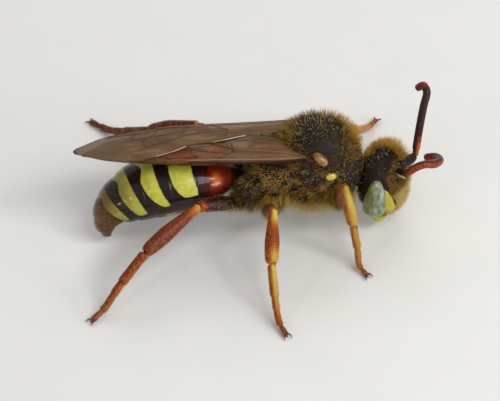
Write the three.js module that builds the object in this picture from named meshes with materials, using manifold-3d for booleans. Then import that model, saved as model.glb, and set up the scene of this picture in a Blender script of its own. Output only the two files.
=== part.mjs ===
// A male nomad bee of the genus Nomada, standing with its wings folded, at life size.
// Millimetres. +X is forward, +Y is the bee's left, +Z is up, and the floor is Z = 0.
import * as THREE from 'three';
import { mergeVertices } from 'three/addons/utils/BufferGeometryUtils.js';
import Module from 'manifold-3d';

const wasm = await Module();
wasm.setup();

// ---------------------------------------------------------------- driving sizes

const GAP = 0.03; // clear space between two solids that meet
const SIDE_NAMES = [[1, 'left'], [-1, 'right']];
const DIAGONAL = Math.SQRT1_2;

// The sizes of the thorax and head run to the tips of the coat.
const MESOTHORAX = { centre: [0.5, 0, 3.1], half: [1.8, 1.68, 1.88], below: 1.98 };
const PRONOTUM = { centre: [1.44, 0, 2.72], half: [0.94, 1.38, 1.2] };
const SCUTELLUM = { centre: [-0.7, 0, 3.84], half: [0.8, 0.86, 0.76] };
const PROPODEUM = { centre: [-1.2, 0, 2.64], half: [1.28, 1.42, 1.36] };
const TEGULA = { centre: [0.48, 1.3, 4.06], half: [0.31, 0.2, 0.26], roll: -0.7 };
const LOBE = { centre: [0.86, 1.46, 3.22], half: [0.24, 0.26, 0.2] };

const HEAD = {
  centre: [3.03, -0.1, 1.97],
  yaw: THREE.MathUtils.degToRad(-28), // the face turns to the bee's right
  pitch: THREE.MathUtils.degToRad(6), // and is raised a little
  face: 0.94,
  back: 0.98,
  side: 1.44,
  top: 1.36,
  bottom: 1.28,
  narrowing: 0.22, // how far the cheeks draw in towards the jaws
};
const EYE = { centre: [0, 1.08, -0.12], half: [0.49, 0.46, 0.83], taper: 0.3, lean: 0.12 };
const CLYPEUS = { centre: [0.66, 0, -0.56], half: [0.32, 0.62, 0.44] };
const LABRUM = { centre: [0.4, 0, -1.12], half: [0.3, 0.4, 0.26] };
const MANDIBLE = {
  points: [[-0.4, 0.74, -1.1], [-0.14, 0.68, -1.4], [0.04, 0.3, -1.46]],
  radii: [0.24, 0.24, 0.16],
};
const OCELLUS_RADIUS = 0.14;
const OCELLI = { front: [0.2, 0], left: [-0.04, 0.26], right: [-0.04, -0.26] };
const SOCKET = [0.6, 0.15, 0.6];

const SCAPE_RADII = [0.2, 0.25, 0.2];
const FLAGELLUM_RADII = [0.23, 0.24, 0.24, 0.24, 0.24, 0.24, 0.23, 0.22, 0.2];
const FLAGELLA = {
  left: [
    [4.16, 0.5, 2.52], [4.3, 0.9, 3.28], [4.5, 1.42, 4.1], [4.64, 1.77, 4.52],
    [4.54, 2.02, 4.62], [4.34, 2.18, 4.38],
  ],
  right: [
    [3.7, -1.02, 2.93], [3.96, -1.1, 3.28], [4.32, -1.05, 3.41], [4.72, -0.85, 3.23],
    [4.98, -0.4, 3.0], [4.9, 0.15, 2.71], [4.58, 0.5, 2.4],
  ],
};

const ABDOMEN = {
  spine: [
    [-2.3, 0, 2.34], [-3.1, 0, 2.28], [-4.4, -0.04, 2.18], [-5.6, -0.16, 1.99],
    [-6.5, -0.36, 1.74], [-7.18, -0.6, 1.38], [-7.44, -0.82, 0.9], [-7.42, -0.96, 0.42],
  ],
  halfWidth: 1.42,
  flat: 0.8, // height over width
  // Percent of the way along the spine, and the radius over the half width there.
  outline: [
    [0, 0.16], [5, 0.32], [14, 0.66], [24, 0.89], [34, 0.98], [44, 1], [56, 0.98],
    [68, 0.89], [78, 0.75], [87, 0.55], [94, 0.35], [100, 0.14],
  ],
  ends: [0.28, 0.44, 0.612, 0.744, 0.838, 0.92, 1], // where each segment ends along the spine
  tuck: 0.95, // the front rim of a segment over the rear rim of the one before
  rings: 3,
};

const WINGS = {
  thickness: 0.42,
  cells: [12, 3],
  ridge: 4.2, // height of the folded wings' middle line over X = 0
  fall: 0.055, // and how it drops towards the tips
  arch: 0.2, // bend of the wings over the abdomen
  middle: -0.1,
};
// Each wing's edges in plan, from root to tip, and its layer: its height over the middle line.
const FOREWING_LEFT = {
  layer: 0.52,
  rise: 2.3, // how far behind the middle of the thorax it has risen to its layer
  lead: [[0.3, 1.12], [-1.2, 1.12], [-2.8, 1.26], [-4.4, 1.46], [-6.0, 1.26], [-7.4, 0.74], [-8.5, 0.06]],
  trail: [[0.3, 0.88], [-1.2, 0.5], [-2.8, -0.06], [-4.3, -0.32], [-6.0, -0.9], [-7.4, -0.74], [-8.6, -0.3]],
};
const FOREWING_RIGHT = {
  layer: 0.06,
  rise: 0.5,
  lead: [[0.3, -1.16], [-1.2, -1.14], [-2.8, -1.06], [-4.4, -1.02], [-6.0, -0.9], [-7.4, -0.64], [-8.2, -0.3]],
  trail: [[0.3, -0.96], [-1.2, -0.62], [-2.8, 0.1], [-4.3, 0.62], [-6.0, 0.98], [-7.4, 0.72], [-8.3, 0.06]],
};
const HINDWING = {
  layer: -0.4,
  rise: 0.5,
  lead: [[-0.6, 1.2], [-1.8, 1.12], [-3.2, 1.04], [-4.6, 0.92], [-5.7, 0.66], [-6.3, 0.36]],
  trail: [[-0.6, 0.95], [-1.8, 0.5], [-3.2, 0.06], [-4.6, 0.04], [-5.7, 0.05], [-6.35, 0.18]],
};

// Each leg: the coxa's root, the trochanter, the knee, the ankle, then the tarsus to its sole.
const LEGS = {
  fore_right: [
    [1.2, -0.6, 1.9], [1.22, -0.98, 1.5], [1.33, -1.78, 3.06], [1.66, -2.15, 1.5],
    [1.81, -2.55, 0.64], [1.86, -2.98, 0.24], [2.08, -3.32, 0.12],
  ],
  fore_left: [
    [1.2, 0.6, 1.9], [1.3, 1.05, 1.5], [1.66, 2.1, 2.4], [2.2, 3.4, 1.36],
    [2.55, 4.15, 0.74], [2.86, 4.85, 0.28], [3.14, 5.35, 0.12],
  ],
  mid_right: [
    [-0.8, -0.5, 1.9], [-1.45, -1.05, 1.32], [-1.31, -2.25, 2.45], [-1.47, -4.1, 1.53],
    [-1.39, -5.1, 0.7], [-1.28, -5.84, 0.26], [-1.08, -6.3, 0.12],
  ],
  mid_left: [
    [-0.8, 0.5, 1.9], [-1.0, 1.0, 1.32], [-0.6, 2.3, 2.4], [-0.25, 3.9, 1.2],
    [0.0, 4.6, 0.52], [0.15, 5.1, 0.24], [0.36, 5.6, 0.12],
  ],
  hind_right: [
    [-1.7, -0.6, 2.24], [-2.5, -1.12, 1.92], [-4.05, -1.95, 2.5], [-6.06, -3.66, 1.9],
    [-7.06, -4.3, 0.84], [-7.6, -4.82, 0.3], [-8.02, -5.2, 0.12],
  ],
  hind_left: [
    [-1.7, 0.6, 2.24], [-2.5, 1.12, 1.92], [-3.85, 2.5, 2.8], [-5.73, 3.83, 1.45],
    [-6.43, 4.47, 0.85], [-7.27, 5.25, 0.26], [-8.0, 5.9, 0.12],
  ],
};
// Radii along each joint of a leg. A joint ends a little slimmer than the next one starts.
const LEG_RADII = {
  fore: {
    hip: [0.34, 0.34, 0.25],
    femur: [0.28, 0.36, 0.32, 0.22],
    tibia: [0.25, 0.24, 0.27, 0.2],
    tarsus: [0.23, 0.23, 0.22, 0.22, 0.22],
  },
  mid: {
    hip: [0.36, 0.36, 0.26],
    femur: [0.29, 0.37, 0.33, 0.23],
    tibia: [0.26, 0.25, 0.3, 0.29, 0.2],
    tarsus: [0.23, 0.23, 0.22, 0.22, 0.22],
  },
  hind: {
    hip: [0.52, 0.48, 0.3],
    femur: [0.31, 0.41, 0.36, 0.24],
    tibia: [0.27, 0.28, 0.33, 0.32, 0.22],
    tarsus: [0.25, 0.26, 0.24, 0.22, 0.22],
  },
};

// ---------------------------------------------------------------- materials

const paint = (color, roughness = 0.5) => new THREE.MeshStandardMaterial({ color, roughness, metalness: 0 });
const COLOURS = {
  black: () => paint(0x1a1410, 0.4),
  coat: () => paint(0x6b5530, 0.9),
  yellow: () => paint(0xc3c841, 0.35),
  red: () => paint(0x6e2412, 0.3),
  orange: () => paint(0xb4581c, 0.45),
  amber: () => paint(0xa9772c, 0.3),
  eye: () => paint(0x6f8a62, 0.2),
  membrane: () => paint(0x73594b, 0.35),
  feeler: () => paint(0x4a2a1c, 0.5),
};

// ---------------------------------------------------------------- solids

// A closed geometry as a manifold-3d solid, ready to be cut or joined.
function solid(geometry) {
  const bare = geometry.clone();
  bare.deleteAttribute('normal');
  bare.deleteAttribute('uv');
  const merged = mergeVertices(bare, 1e-5);
  const mesh = new wasm.Mesh({
    numProp: 3,
    vertProperties: new Float32Array(merged.attributes.position.array),
    triVerts: new Uint32Array(merged.index.array),
  });
  return new wasm.Manifold(mesh);
}

function geometryOf(manifold) {
  const mesh = manifold.getMesh();
  const geometry = new THREE.BufferGeometry();
  geometry.setAttribute('position', new THREE.BufferAttribute(mesh.vertProperties, 3));
  geometry.setIndex(new THREE.BufferAttribute(mesh.triVerts, 1));
  geometry.computeVertexNormals();
  return geometry;
}

// The first geometry with the others cut out of it, less any loose chips that the cuts leave.
function cut(geometry, ...cutters) {
  let left = solid(geometry);
  for (const cutter of cutters) {
    left = left.subtract(solid(cutter));
  }
  const [largest] = left.decompose().sort((a, b) => b.volume() - a.volume());
  return geometryOf(largest);
}

// Moves every vertex of a geometry to where place(vertex) puts it.
function reshape(geometry, place) {
  const position = geometry.attributes.position;
  const point = new THREE.Vector3();
  for (let i = 0; i < position.count; i += 1) {
    point.fromBufferAttribute(position, i);
    place(point);
    position.setXYZ(i, point.x, point.y, point.z);
  }
  geometry.computeVertexNormals();
  return geometry;
}

// An egg with half axes that can differ below the middle and behind it.
function egg({ centre, half, below = half[2], behind = half[0], power = 2, grow = 0, fine = [16, 10] }) {
  const ball = new THREE.SphereGeometry(1, fine[0], fine[1]).rotateX(Math.PI / 2);
  return reshape(ball, (p) => {
    const bulge = (Math.abs(p.x) ** power + Math.abs(p.y) ** power + Math.abs(p.z) ** power) ** (-1 / power);
    p.multiplyScalar(bulge);
    p.x *= (p.x < 0 ? behind : half[0]) + grow;
    p.y *= half[1] + grow;
    p.z *= (p.z < 0 ? below : half[2]) + grow;
    p.add(new THREE.Vector3(...centre));
  });
}

function ballAt(point, radius) {
  return new THREE.SphereGeometry(radius, 8, 6).translate(...point);
}

// A curve with a sideways direction carried along it, so that a section never twists.
class Spine {
  constructor(points, side = [0, 1, 0]) {
    this.curve = new THREE.CatmullRomCurve3(points.map((p) => new THREE.Vector3(...p)));
    this.length = this.curve.getLength();
    this.steps = 60;
    this.sideways = [];
    let across = new THREE.Vector3(...side);
    for (let i = 0; i <= this.steps; i += 1) {
      const along = this.curve.getTangentAt(i / this.steps);
      across = across.clone().addScaledVector(along, -across.dot(along)).normalize();
      this.sideways.push(across);
    }
  }

  // The point at a distance along the curve, moved sideways and up. Past either end it runs straight.
  at(distance, sideways, upwards) {
    const t = THREE.MathUtils.clamp(distance / this.length, 0, 1);
    const before = Math.min(Math.floor(t * this.steps), this.steps - 1);
    const along = this.curve.getTangentAt(t);
    const across = this.sideways[before].clone().lerp(this.sideways[before + 1], t * this.steps - before);
    across.addScaledVector(along, -across.dot(along)).normalize();
    return this.curve
      .getPointAt(t)
      .addScaledVector(along, distance - t * this.length)
      .addScaledVector(across, sideways)
      .addScaledVector(along.cross(across), upwards);
  }
}

// A lathed rod bent along a spine. The profile is [radius, distance] pairs that start and end on the axis.
function rod(spine, profile, { sides, flat = 1 }) {
  const turned = new THREE.LatheGeometry(profile.map((p) => new THREE.Vector2(...p)), sides);
  return reshape(turned, (p) => p.copy(spine.at(p.y, p.x, -p.z * flat)));
}

// A rod with ball ends along points, whose radii are spaced evenly from its start to its end.
function limb(points, radii, { grow = 0, sides = 7 } = {}) {
  const spine = new Spine(points);
  const grown = radii.map((radius) => radius + grow);
  const first = grown[0];
  const last = grown[grown.length - 1];
  const profile = [[0, -first], [first * DIAGONAL, -first * DIAGONAL]];
  grown.forEach((radius, i) => profile.push([radius, (i * spine.length) / (grown.length - 1)]));
  profile.push([last * DIAGONAL, spine.length + last * DIAGONAL], [0, spine.length + last]);
  return rod(spine, profile, { sides });
}

function piece(name, geometry, colour) {
  const mesh = new THREE.Mesh(geometry, COLOURS[colour]());
  mesh.name = name;
  return mesh;
}

const mirrored = ([x, y, z], side) => [x, y * side, z];

// ---------------------------------------------------------------- head

const headMatrix = new THREE.Matrix4()
  .makeTranslation(...HEAD.centre)
  .multiply(new THREE.Matrix4().makeRotationZ(HEAD.yaw))
  .multiply(new THREE.Matrix4().makeRotationY(-HEAD.pitch));

const inHead = (geometry) => geometry.applyMatrix4(headMatrix);
const headPoint = (point) => new THREE.Vector3(...point).applyMatrix4(headMatrix).toArray();

// The head capsule in its own frame: X out of the face, Y to the left, Z to the vertex.
function skull(grow = 0) {
  const shape = egg({
    centre: [0, 0, 0],
    half: [HEAD.face, HEAD.side, HEAD.top],
    behind: HEAD.back,
    below: HEAD.bottom,
    power: 2.35,
    grow,
  });
  return reshape(shape, (p) => {
    const jaw = THREE.MathUtils.smoothstep(-p.z, 0.1, HEAD.bottom);
    p.y *= 1 - HEAD.narrowing * jaw;
  });
}

function compoundEye(side, grow = 0) {
  const shape = egg({ centre: [0, 0, 0], half: EYE.half, power: 2.1, grow, fine: [12, 8] });
  reshape(shape, (p) => {
    p.x *= 1 - EYE.taper * THREE.MathUtils.clamp(p.z / EYE.half[2], -0.2, 1);
  });
  return shape.rotateX(side * EYE.lean).translate(...mirrored(EYE.centre, side));
}

const clypeus = (grow = 0) => egg({ ...CLYPEUS, power: 2.3, grow, fine: [10, 6] });
const labrum = (grow = 0) => egg({ ...LABRUM, power: 2.3, grow, fine: [8, 6] });

function ocellus(place, grow = 0) {
  const [forward, left] = OCELLI[place];
  const height = HEAD.top * Math.sqrt(1 - (forward / HEAD.face) ** 2 - (left / HEAD.side) ** 2);
  return ballAt([forward, left, height], OCELLUS_RADIUS + grow);
}

function mandible(side) {
  const points = MANDIBLE.points.map((p) => mirrored(p, side));
  return limb(points, MANDIBLE.radii);
}

function headMeshes() {
  const eyeSockets = [1, -1].map((side) => compoundEye(side, GAP));
  const ocellusPits = Object.keys(OCELLI).map((place) => ocellus(place, GAP));
  const capsule = cut(
    skull(),
    ...eyeSockets,
    ...ocellusPits,
    clypeus(GAP),
    labrum(GAP),
  );
  const meshes = [
    piece('head', inHead(capsule), 'black'),
    piece('clypeus', inHead(cut(clypeus(), labrum(GAP))), 'yellow'),
    piece('labrum', inHead(labrum()), 'yellow'),
  ];
  for (const [side, label] of SIDE_NAMES) {
    const jaw = cut(mandible(side), skull(GAP), clypeus(GAP), labrum(GAP));
    meshes.push(piece(`eye_${label}`, inHead(compoundEye(side)), 'eye'));
    meshes.push(piece(`mandible_${label}`, inHead(jaw), 'yellow'));
  }
  for (const place of Object.keys(OCELLI)) {
    meshes.push(piece(`ocellus_${place}`, inHead(ocellus(place)), 'amber'));
  }
  return meshes;
}

// ---------------------------------------------------------------- antennae

function antennaMeshes() {
  const meshes = [];
  for (const [side, label] of SIDE_NAMES) {
    const socket = headPoint(mirrored(SOCKET, side));
    const flagellum = (grow) => limb(FLAGELLA[label], FLAGELLUM_RADII, { grow });
    const scape = limb([socket, FLAGELLA[label][0]], SCAPE_RADII);
    meshes.push(piece(`scape_${label}`, cut(scape, flagellum(GAP), inHead(skull(GAP))), 'black'));
    meshes.push(piece(`flagellum_${label}`, flagellum(0), 'feeler'));
  }
  return meshes;
}

// ---------------------------------------------------------------- thorax

const mesothorax = (grow = 0) => egg({ ...MESOTHORAX, power: 2.2, grow });
const pronotum = (grow = 0) => egg({ ...PRONOTUM, power: 2.3, grow, fine: [14, 9] });
const scutellum = (grow = 0) => egg({ ...SCUTELLUM, power: 2.3, grow, fine: [14, 8] });
const propodeum = (grow = 0) => egg({ ...PROPODEUM, power: 2.3, grow, fine: [14, 8] });

function tegula(side, grow = 0) {
  const shape = egg({ centre: [0, 0, 0], half: TEGULA.half, grow, fine: [8, 6] });
  return shape.rotateX(side * TEGULA.roll).translate(...mirrored(TEGULA.centre, side));
}

function pronotalLobe(side, grow = 0) {
  return egg({ centre: mirrored(LOBE.centre, side), half: LOBE.half, grow, fine: [8, 6] });
}

const thoraxShapes = () => [mesothorax(GAP), pronotum(GAP), scutellum(GAP), propodeum(GAP)];

function thoraxMeshes() {
  const tegulae = [1, -1].map((side) => tegula(side, GAP));
  const lobes = [1, -1].map((side) => pronotalLobe(side, GAP));
  const meshes = [
    piece('mesothorax', cut(mesothorax(), ...tegulae, ...lobes, inHead(skull(GAP))), 'coat'),
    piece('pronotum', cut(pronotum(), mesothorax(GAP), ...lobes, inHead(skull(GAP))), 'coat'),
    piece('scutellum', cut(scutellum(), mesothorax(GAP)), 'coat'),
    piece('propodeum', cut(propodeum(), mesothorax(GAP), scutellum(GAP)), 'coat'),
  ];
  for (const [side, label] of SIDE_NAMES) {
    meshes.push(piece(`tegula_${label}`, tegula(side), 'amber'));
    meshes.push(piece(`pronotal_lobe_${label}`, pronotalLobe(side), 'yellow'));
  }
  return meshes;
}

// ---------------------------------------------------------------- abdomen

const abdomenSpine = new Spine(ABDOMEN.spine);

function abdomenRadius(share) {
  const { outline } = ABDOMEN;
  const next = Math.max(1, outline.findIndex(([at]) => at >= share * 100));
  const [a, ra] = outline[next - 1];
  const [b, rb] = outline[next];
  return ABDOMEN.halfWidth * THREE.MathUtils.mapLinear(share * 100, a, b, ra, rb);
}

// One ring of the abdomen, whose front rim tucks in under the one before.
function abdomenSegment(from, to) {
  const { length } = abdomenSpine;
  const start = from * length + (from > 0 ? GAP : 0);
  const end = to * length;
  const profile = [[0, start]];
  for (let i = 0; i <= ABDOMEN.rings; i += 1) {
    const share = i / ABDOMEN.rings;
    const distance = THREE.MathUtils.lerp(start, end, share);
    const tuck = THREE.MathUtils.lerp(ABDOMEN.tuck, 1, Math.min(1, share * 2));
    profile.push([abdomenRadius(distance / length) * tuck, distance]);
  }
  profile.push([0, end]);
  return rod(abdomenSpine, profile, { sides: 16, flat: ABDOMEN.flat });
}

function abdomenMeshes() {
  const colours = ['red', 'black', 'yellow', 'yellow', 'yellow', 'amber', 'orange'];
  return ABDOMEN.ends.map((end, i) => {
    const geometry = abdomenSegment(ABDOMEN.ends[i - 1] ?? 0, end);
    const name = `abdomen_segment_${i + 1}`;
    return piece(name, i ? geometry : cut(geometry, propodeum(GAP)), colours[i]);
  });
}

// ---------------------------------------------------------------- wings

function edge(points) {
  return new THREE.SplineCurve(points.map((p) => new THREE.Vector2(...p)));
}

// A flat slab between a leading and a trailing edge, arched over the abdomen.
function wing({ layer, rise, lead, trail }, side = 1) {
  const leading = edge(lead);
  const trailing = edge(trail);
  const slab = new THREE.BoxGeometry(1, 1, 1, WINGS.cells[0], WINGS.cells[1], 1);
  return reshape(slab, (p) => {
    const u = p.x + 0.5;
    const v = p.y * side + 0.5;
    const thickness = p.z * WINGS.thickness;
    const front = leading.getPoint(u);
    const plan = front.lerp(trailing.getPoint(u), v);
    const lift = layer * THREE.MathUtils.smoothstep(-plan.x, 0, rise);
    const ridge = WINGS.ridge + WINGS.fall * plan.x + lift;
    const arch = WINGS.arch * (plan.y - WINGS.middle) ** 2;
    p.set(plan.x, plan.y, ridge - arch + thickness);
  });
}

function wingMeshes() {
  const mirror = (points) => points.map(([x, y]) => [x, -y]);
  const hindRight = { ...HINDWING, lead: mirror(HINDWING.lead), trail: mirror(HINDWING.trail) };
  const slabs = {
    forewing_left: wing(FOREWING_LEFT, 1),
    forewing_right: wing(FOREWING_RIGHT, -1),
    hindwing_left: wing(HINDWING, 1),
    hindwing_right: wing(hindRight, -1),
  };
  return Object.entries(slabs).map(([name, slab]) => {
    const side = name.endsWith('left') ? 1 : -1;
    return piece(name, cut(slab, ...thoraxShapes(), tegula(side, GAP)), 'membrane');
  });
}

// ---------------------------------------------------------------- legs

// Each joint gives way to the one that follows it, and the sole is cut level with the floor.
// The hip is the coxa and trochanter.
function legMeshes(leg) {
  const [root, trochanter, knee, ankle, ...toes] = LEGS[leg];
  const radii = LEG_RADII[leg.split('_')[0]];
  const hip = limb([root, trochanter], radii.hip);
  const femur = (grow) => limb([trochanter, knee], radii.femur, { grow });
  const tibia = (grow) => limb([knee, ankle], radii.tibia, { grow });
  const tarsus = (grow) => limb([ankle, ...toes], radii.tarsus, { grow });
  const floor = new THREE.BoxGeometry(40, 40, 2).translate(0, 0, -1);
  const body = [mesothorax(GAP), propodeum(GAP), pronotum(GAP)];
  return [
    piece(`hip_${leg}`, cut(hip, femur(GAP), ...body), 'black'),
    piece(`femur_${leg}`, cut(femur(0), tibia(GAP), ...body), 'red'),
    piece(`tibia_${leg}`, cut(tibia(0), tarsus(GAP)), 'orange'),
    piece(`tarsus_${leg}`, cut(tarsus(0), floor), 'orange'),
  ];
}

// ---------------------------------------------------------------- the bee

const bee = new THREE.Group();
const parts = [
  headMeshes(),
  antennaMeshes(),
  thoraxMeshes(),
  abdomenMeshes(),
  wingMeshes(),
  ...Object.keys(LEGS).map((leg) => legMeshes(leg)),
];
for (const meshes of parts) {
  const group = new THREE.Group();
  group.add(...meshes);
  bee.add(group);
}

// The middle of the bee's box stands over the origin.
const middle = new THREE.Box3().setFromObject(bee).getCenter(new THREE.Vector3());
bee.position.set(-middle.x, -middle.y, 0);

export default bee;
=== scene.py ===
"""A male nomad cuckoo bee at life size: its looks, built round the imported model.

Lengths are millimetres in the bee's own frame: the middle of the thorax is above the origin, the head
points to +X, the bee's left side is +Y and the floor is at z = 0. `show` turns them into metres in the
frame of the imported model.
"""
import math

import bpy
import numpy as np
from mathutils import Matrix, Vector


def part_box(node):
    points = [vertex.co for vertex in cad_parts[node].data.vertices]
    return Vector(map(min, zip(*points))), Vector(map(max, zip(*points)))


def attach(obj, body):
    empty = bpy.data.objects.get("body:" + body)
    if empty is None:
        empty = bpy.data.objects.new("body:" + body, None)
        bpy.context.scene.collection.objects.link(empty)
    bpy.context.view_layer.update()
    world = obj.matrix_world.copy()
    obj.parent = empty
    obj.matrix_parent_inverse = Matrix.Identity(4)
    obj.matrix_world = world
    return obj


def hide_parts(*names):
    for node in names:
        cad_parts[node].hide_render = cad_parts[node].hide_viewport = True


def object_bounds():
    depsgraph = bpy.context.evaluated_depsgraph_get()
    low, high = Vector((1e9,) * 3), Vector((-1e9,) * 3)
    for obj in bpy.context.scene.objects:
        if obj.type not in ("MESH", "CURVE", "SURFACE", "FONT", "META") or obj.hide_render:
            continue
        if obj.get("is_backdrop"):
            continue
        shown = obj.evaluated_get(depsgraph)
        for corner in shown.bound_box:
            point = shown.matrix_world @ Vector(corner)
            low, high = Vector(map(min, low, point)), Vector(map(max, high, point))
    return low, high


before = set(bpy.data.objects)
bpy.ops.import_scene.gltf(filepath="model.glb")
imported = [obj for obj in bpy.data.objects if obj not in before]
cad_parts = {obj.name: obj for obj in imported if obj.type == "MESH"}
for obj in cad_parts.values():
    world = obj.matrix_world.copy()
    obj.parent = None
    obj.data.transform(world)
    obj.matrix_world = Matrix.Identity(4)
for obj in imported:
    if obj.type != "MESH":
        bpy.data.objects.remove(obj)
CAD_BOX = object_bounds()

MM = 0.001
SIDES = {"left": 1, "right": -1}

# ---- Sizes, in millimetres ----

TEGULA = {"centre": (0.48, 1.16, 3.94), "half": (0.33, 0.2, 0.17), "roll": -0.72, "turn": 0.75}
# The wing's root beside the tegula, as (offset from the tegula's centre, half size).
WING_ROOT = (
    ((-0.42, 0.05, -0.02), (0.22, 0.13, 0.12)),
    ((-0.22, 0.16, -0.14), (0.16, 0.1, 0.14)),
    ((-0.2, -0.12, 0.08), (0.14, 0.12, 0.07)),
)
PRONOTAL_LOBE = {"centre": (0.86, 1.3, 3.22), "half": (0.22, 0.16, 0.16)}

THORAX_CENTRE = (0.0, 0.0, 3.0)
THORAX_BLEND = 0.09
# The thorax's plates and its two haunches, each as (centre, half size).
PLATES = {
    "mesonotum": ((0.5, 0, 3.12), (1.44, 1.4, 1.54)),
    "pronotum": ((1.42, 0, 2.72), (0.74, 1.18, 1.08)),
    "scutellum": ((-0.42, 0, 3.8), (0.42, 0.68, 0.5)),
    "propodeum": ((-1.2, 0, 2.64), (1.02, 1.18, 1.12)),
    "breast": ((0.3, 0, 2.26), (1.3, 1.1, 0.94)),
}
HAUNCHES = {side: ((-2.14, 0.68 * sign, 2.3), (0.46, 0.34, 0.4)) for side, sign in SIDES.items()}
NECK = {"points": [(1.3, 0, 2.45), (1.9, 0, 2.3), (2.6, 0, 2.1)], "radius": 0.42}

HEAD = {
    "centre": (3.03, -0.1, 1.97),
    "yaw": math.radians(-28),
    "pitch": math.radians(6),
}
# The head capsule's parts, as (centre, half size): those in the middle and those on each side.
HEAD_MIDDLE = (
    ((-0.1, 0, 0.05), (0.72, 1.2, 1.1)),
    ((0.0, 0, -0.35), (0.66, 0.9, 0.82)),
    ((0.18, 0, -0.72), (0.45, 0.5, 0.48)),
    ((0.22, 0, 0.15), (0.44, 0.34, 0.5)),
)
HEAD_SIDE = (
    ((0.12, 0.46, -0.72), (0.44, 0.44, 0.48)),
    ((-0.34, 0.66, -0.1), (0.5, 0.48, 0.78)),
    ((-0.14, 0.6, 0.4), (0.6, 0.48, 0.56)),
)
HEAD_BLEND = 0.07
EYE = {"centre": (0.01, 1.06, -0.08), "half": (0.485, 0.4, 0.755), "foot": 1.04, "top": 0.56, "lean": 0.12}
LABRUM = {"centre": (0.36, 0, -1.1), "half": (0.2, 0.32, 0.2)}
OCELLUS_RADIUS = 0.075
OCELLI = {"front": (0.1, 0), "left": (-0.13, 0.24), "right": (-0.13, -0.24)}
SOCKET = {"left": (0.5, 0.15, 0.6), "right": (0.58, 0.15, 0.6)}
SCAPE_RADII = [(0, 0.13), (0.25, 0.18), (0.7, 0.19), (1, 0.14)]
FEELER = {"rings": 12, "radius": 0.15, "first": 0.12, "waist": ((0, 0.97), (0.5, 1), (1, 0.985)), "tip": 0.9}
MANDIBLE = {
    "points": [(-0.4, 0.76, -1.06), (-0.14, 0.7, -1.4), (0.04, 0.3, -1.48)],
    "radius": 0.2,
    "taper": ((0, 1), (0.55, 0.85), (1, 0.3)),
}

FLAGELLA = {
    "left": [
        (4.16, 0.5, 2.52), (4.3, 0.9, 3.28), (4.5, 1.42, 4.1), (4.64, 1.77, 4.52), (4.54, 2.02, 4.62),
        (4.34, 2.18, 4.38),
    ],
    "right": [
        (3.7, -1.02, 2.93), (3.96, -1.1, 3.28), (4.32, -1.05, 3.41), (4.72, -0.85, 3.23), (4.98, -0.4, 3.0),
        (4.9, 0.15, 2.71), (4.58, 0.5, 2.4),
    ],
}

ABDOMEN = {
    "spine": [
        (-2.3, 0, 2.34), (-3.1, 0, 2.28), (-4.4, -0.04, 2.18), (-5.6, -0.16, 1.99), (-6.5, -0.36, 1.74),
        (-7.18, -0.6, 1.38), (-7.44, -0.82, 0.9), (-7.42, -0.96, 0.42),
    ],
    "half_width": 1.39,
    "flat": 0.8,
    "outline": [
        (0, 0.16), (5, 0.32), (14, 0.66), (24, 0.89), (34, 0.98), (44, 1), (56, 0.96), (68, 0.85),
        (78, 0.69), (87, 0.5), (94, 0.33), (100, 0.14),
    ],
    "ends": [0.28, 0.44, 0.612, 0.744, 0.838, 0.92, 1],
}

WING = {
    "thickness": 0.03, "ridge": 4.2, "fall": 0.055, "arch": 0.2, "middle": -0.1, "tip_round": 0.24,
    "pleats": 2.2, "pleat_depth": 0.035, "rows": 90, "columns": 28,
}
WINGS = {
    "forewing_left": {
        "layer": 0.06,
        "lead": [
            (0.2, 1.0), (-1.2, 1.02), (-2.8, 1.16), (-4.4, 1.38), (-6, 1.2), (-7.4, 0.7), (-8.3, 0.12),
        ],
        "trail": [
            (-0.4, 0.88), (-0.98, 0.18), (-2.2, 0.04), (-3.4, -0.2), (-4.2, -0.24), (-4.8, -0.48),
            (-5.6, -0.7), (-6.2, -0.8), (-7.3, -0.68), (-8.34, -0.3),
        ],
    },
    "forewing_right": {
        "layer": -0.04,
        "lead": [
            (0.2, -1.16), (-1.2, -1.19), (-2.8, -1.1), (-4.4, -0.96), (-6, -0.82), (-7.2, -0.6),
            (-8.0, -0.34),
        ],
        "trail": [
            (-0.4, -0.93), (-0.98, -0.2), (-1.8, 0.16), (-3.2, 0.45), (-4.6, 0.72), (-6, 0.8), (-7.2, 0.5),
            (-8.05, -0.1),
        ],
    },
    "hindwing_left": {
        "layer": -0.18,
        "lead": [(-0.6, 1.2), (-1.8, 1.12), (-3.2, 1.04), (-4.6, 0.92), (-5.7, 0.66), (-6.3, 0.36)],
        "trail": [(-0.6, 0.95), (-1.8, 0.5), (-3.2, 0.06), (-4.6, 0.04), (-5.7, 0.05), (-6.35, 0.18)],
    },
    "hindwing_right": {
        "layer": -0.24,
        "lead": [(-0.6, -1.14), (-1.8, -1.0), (-3.2, -0.92), (-4.6, -0.84), (-5.7, -0.62), (-6.3, -0.36)],
        "trail": [(-0.6, -0.95), (-1.8, -0.5), (-3.2, -0.06), (-4.6, -0.04), (-5.7, -0.05), (-6.35, -0.18)],
    },
}

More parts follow.
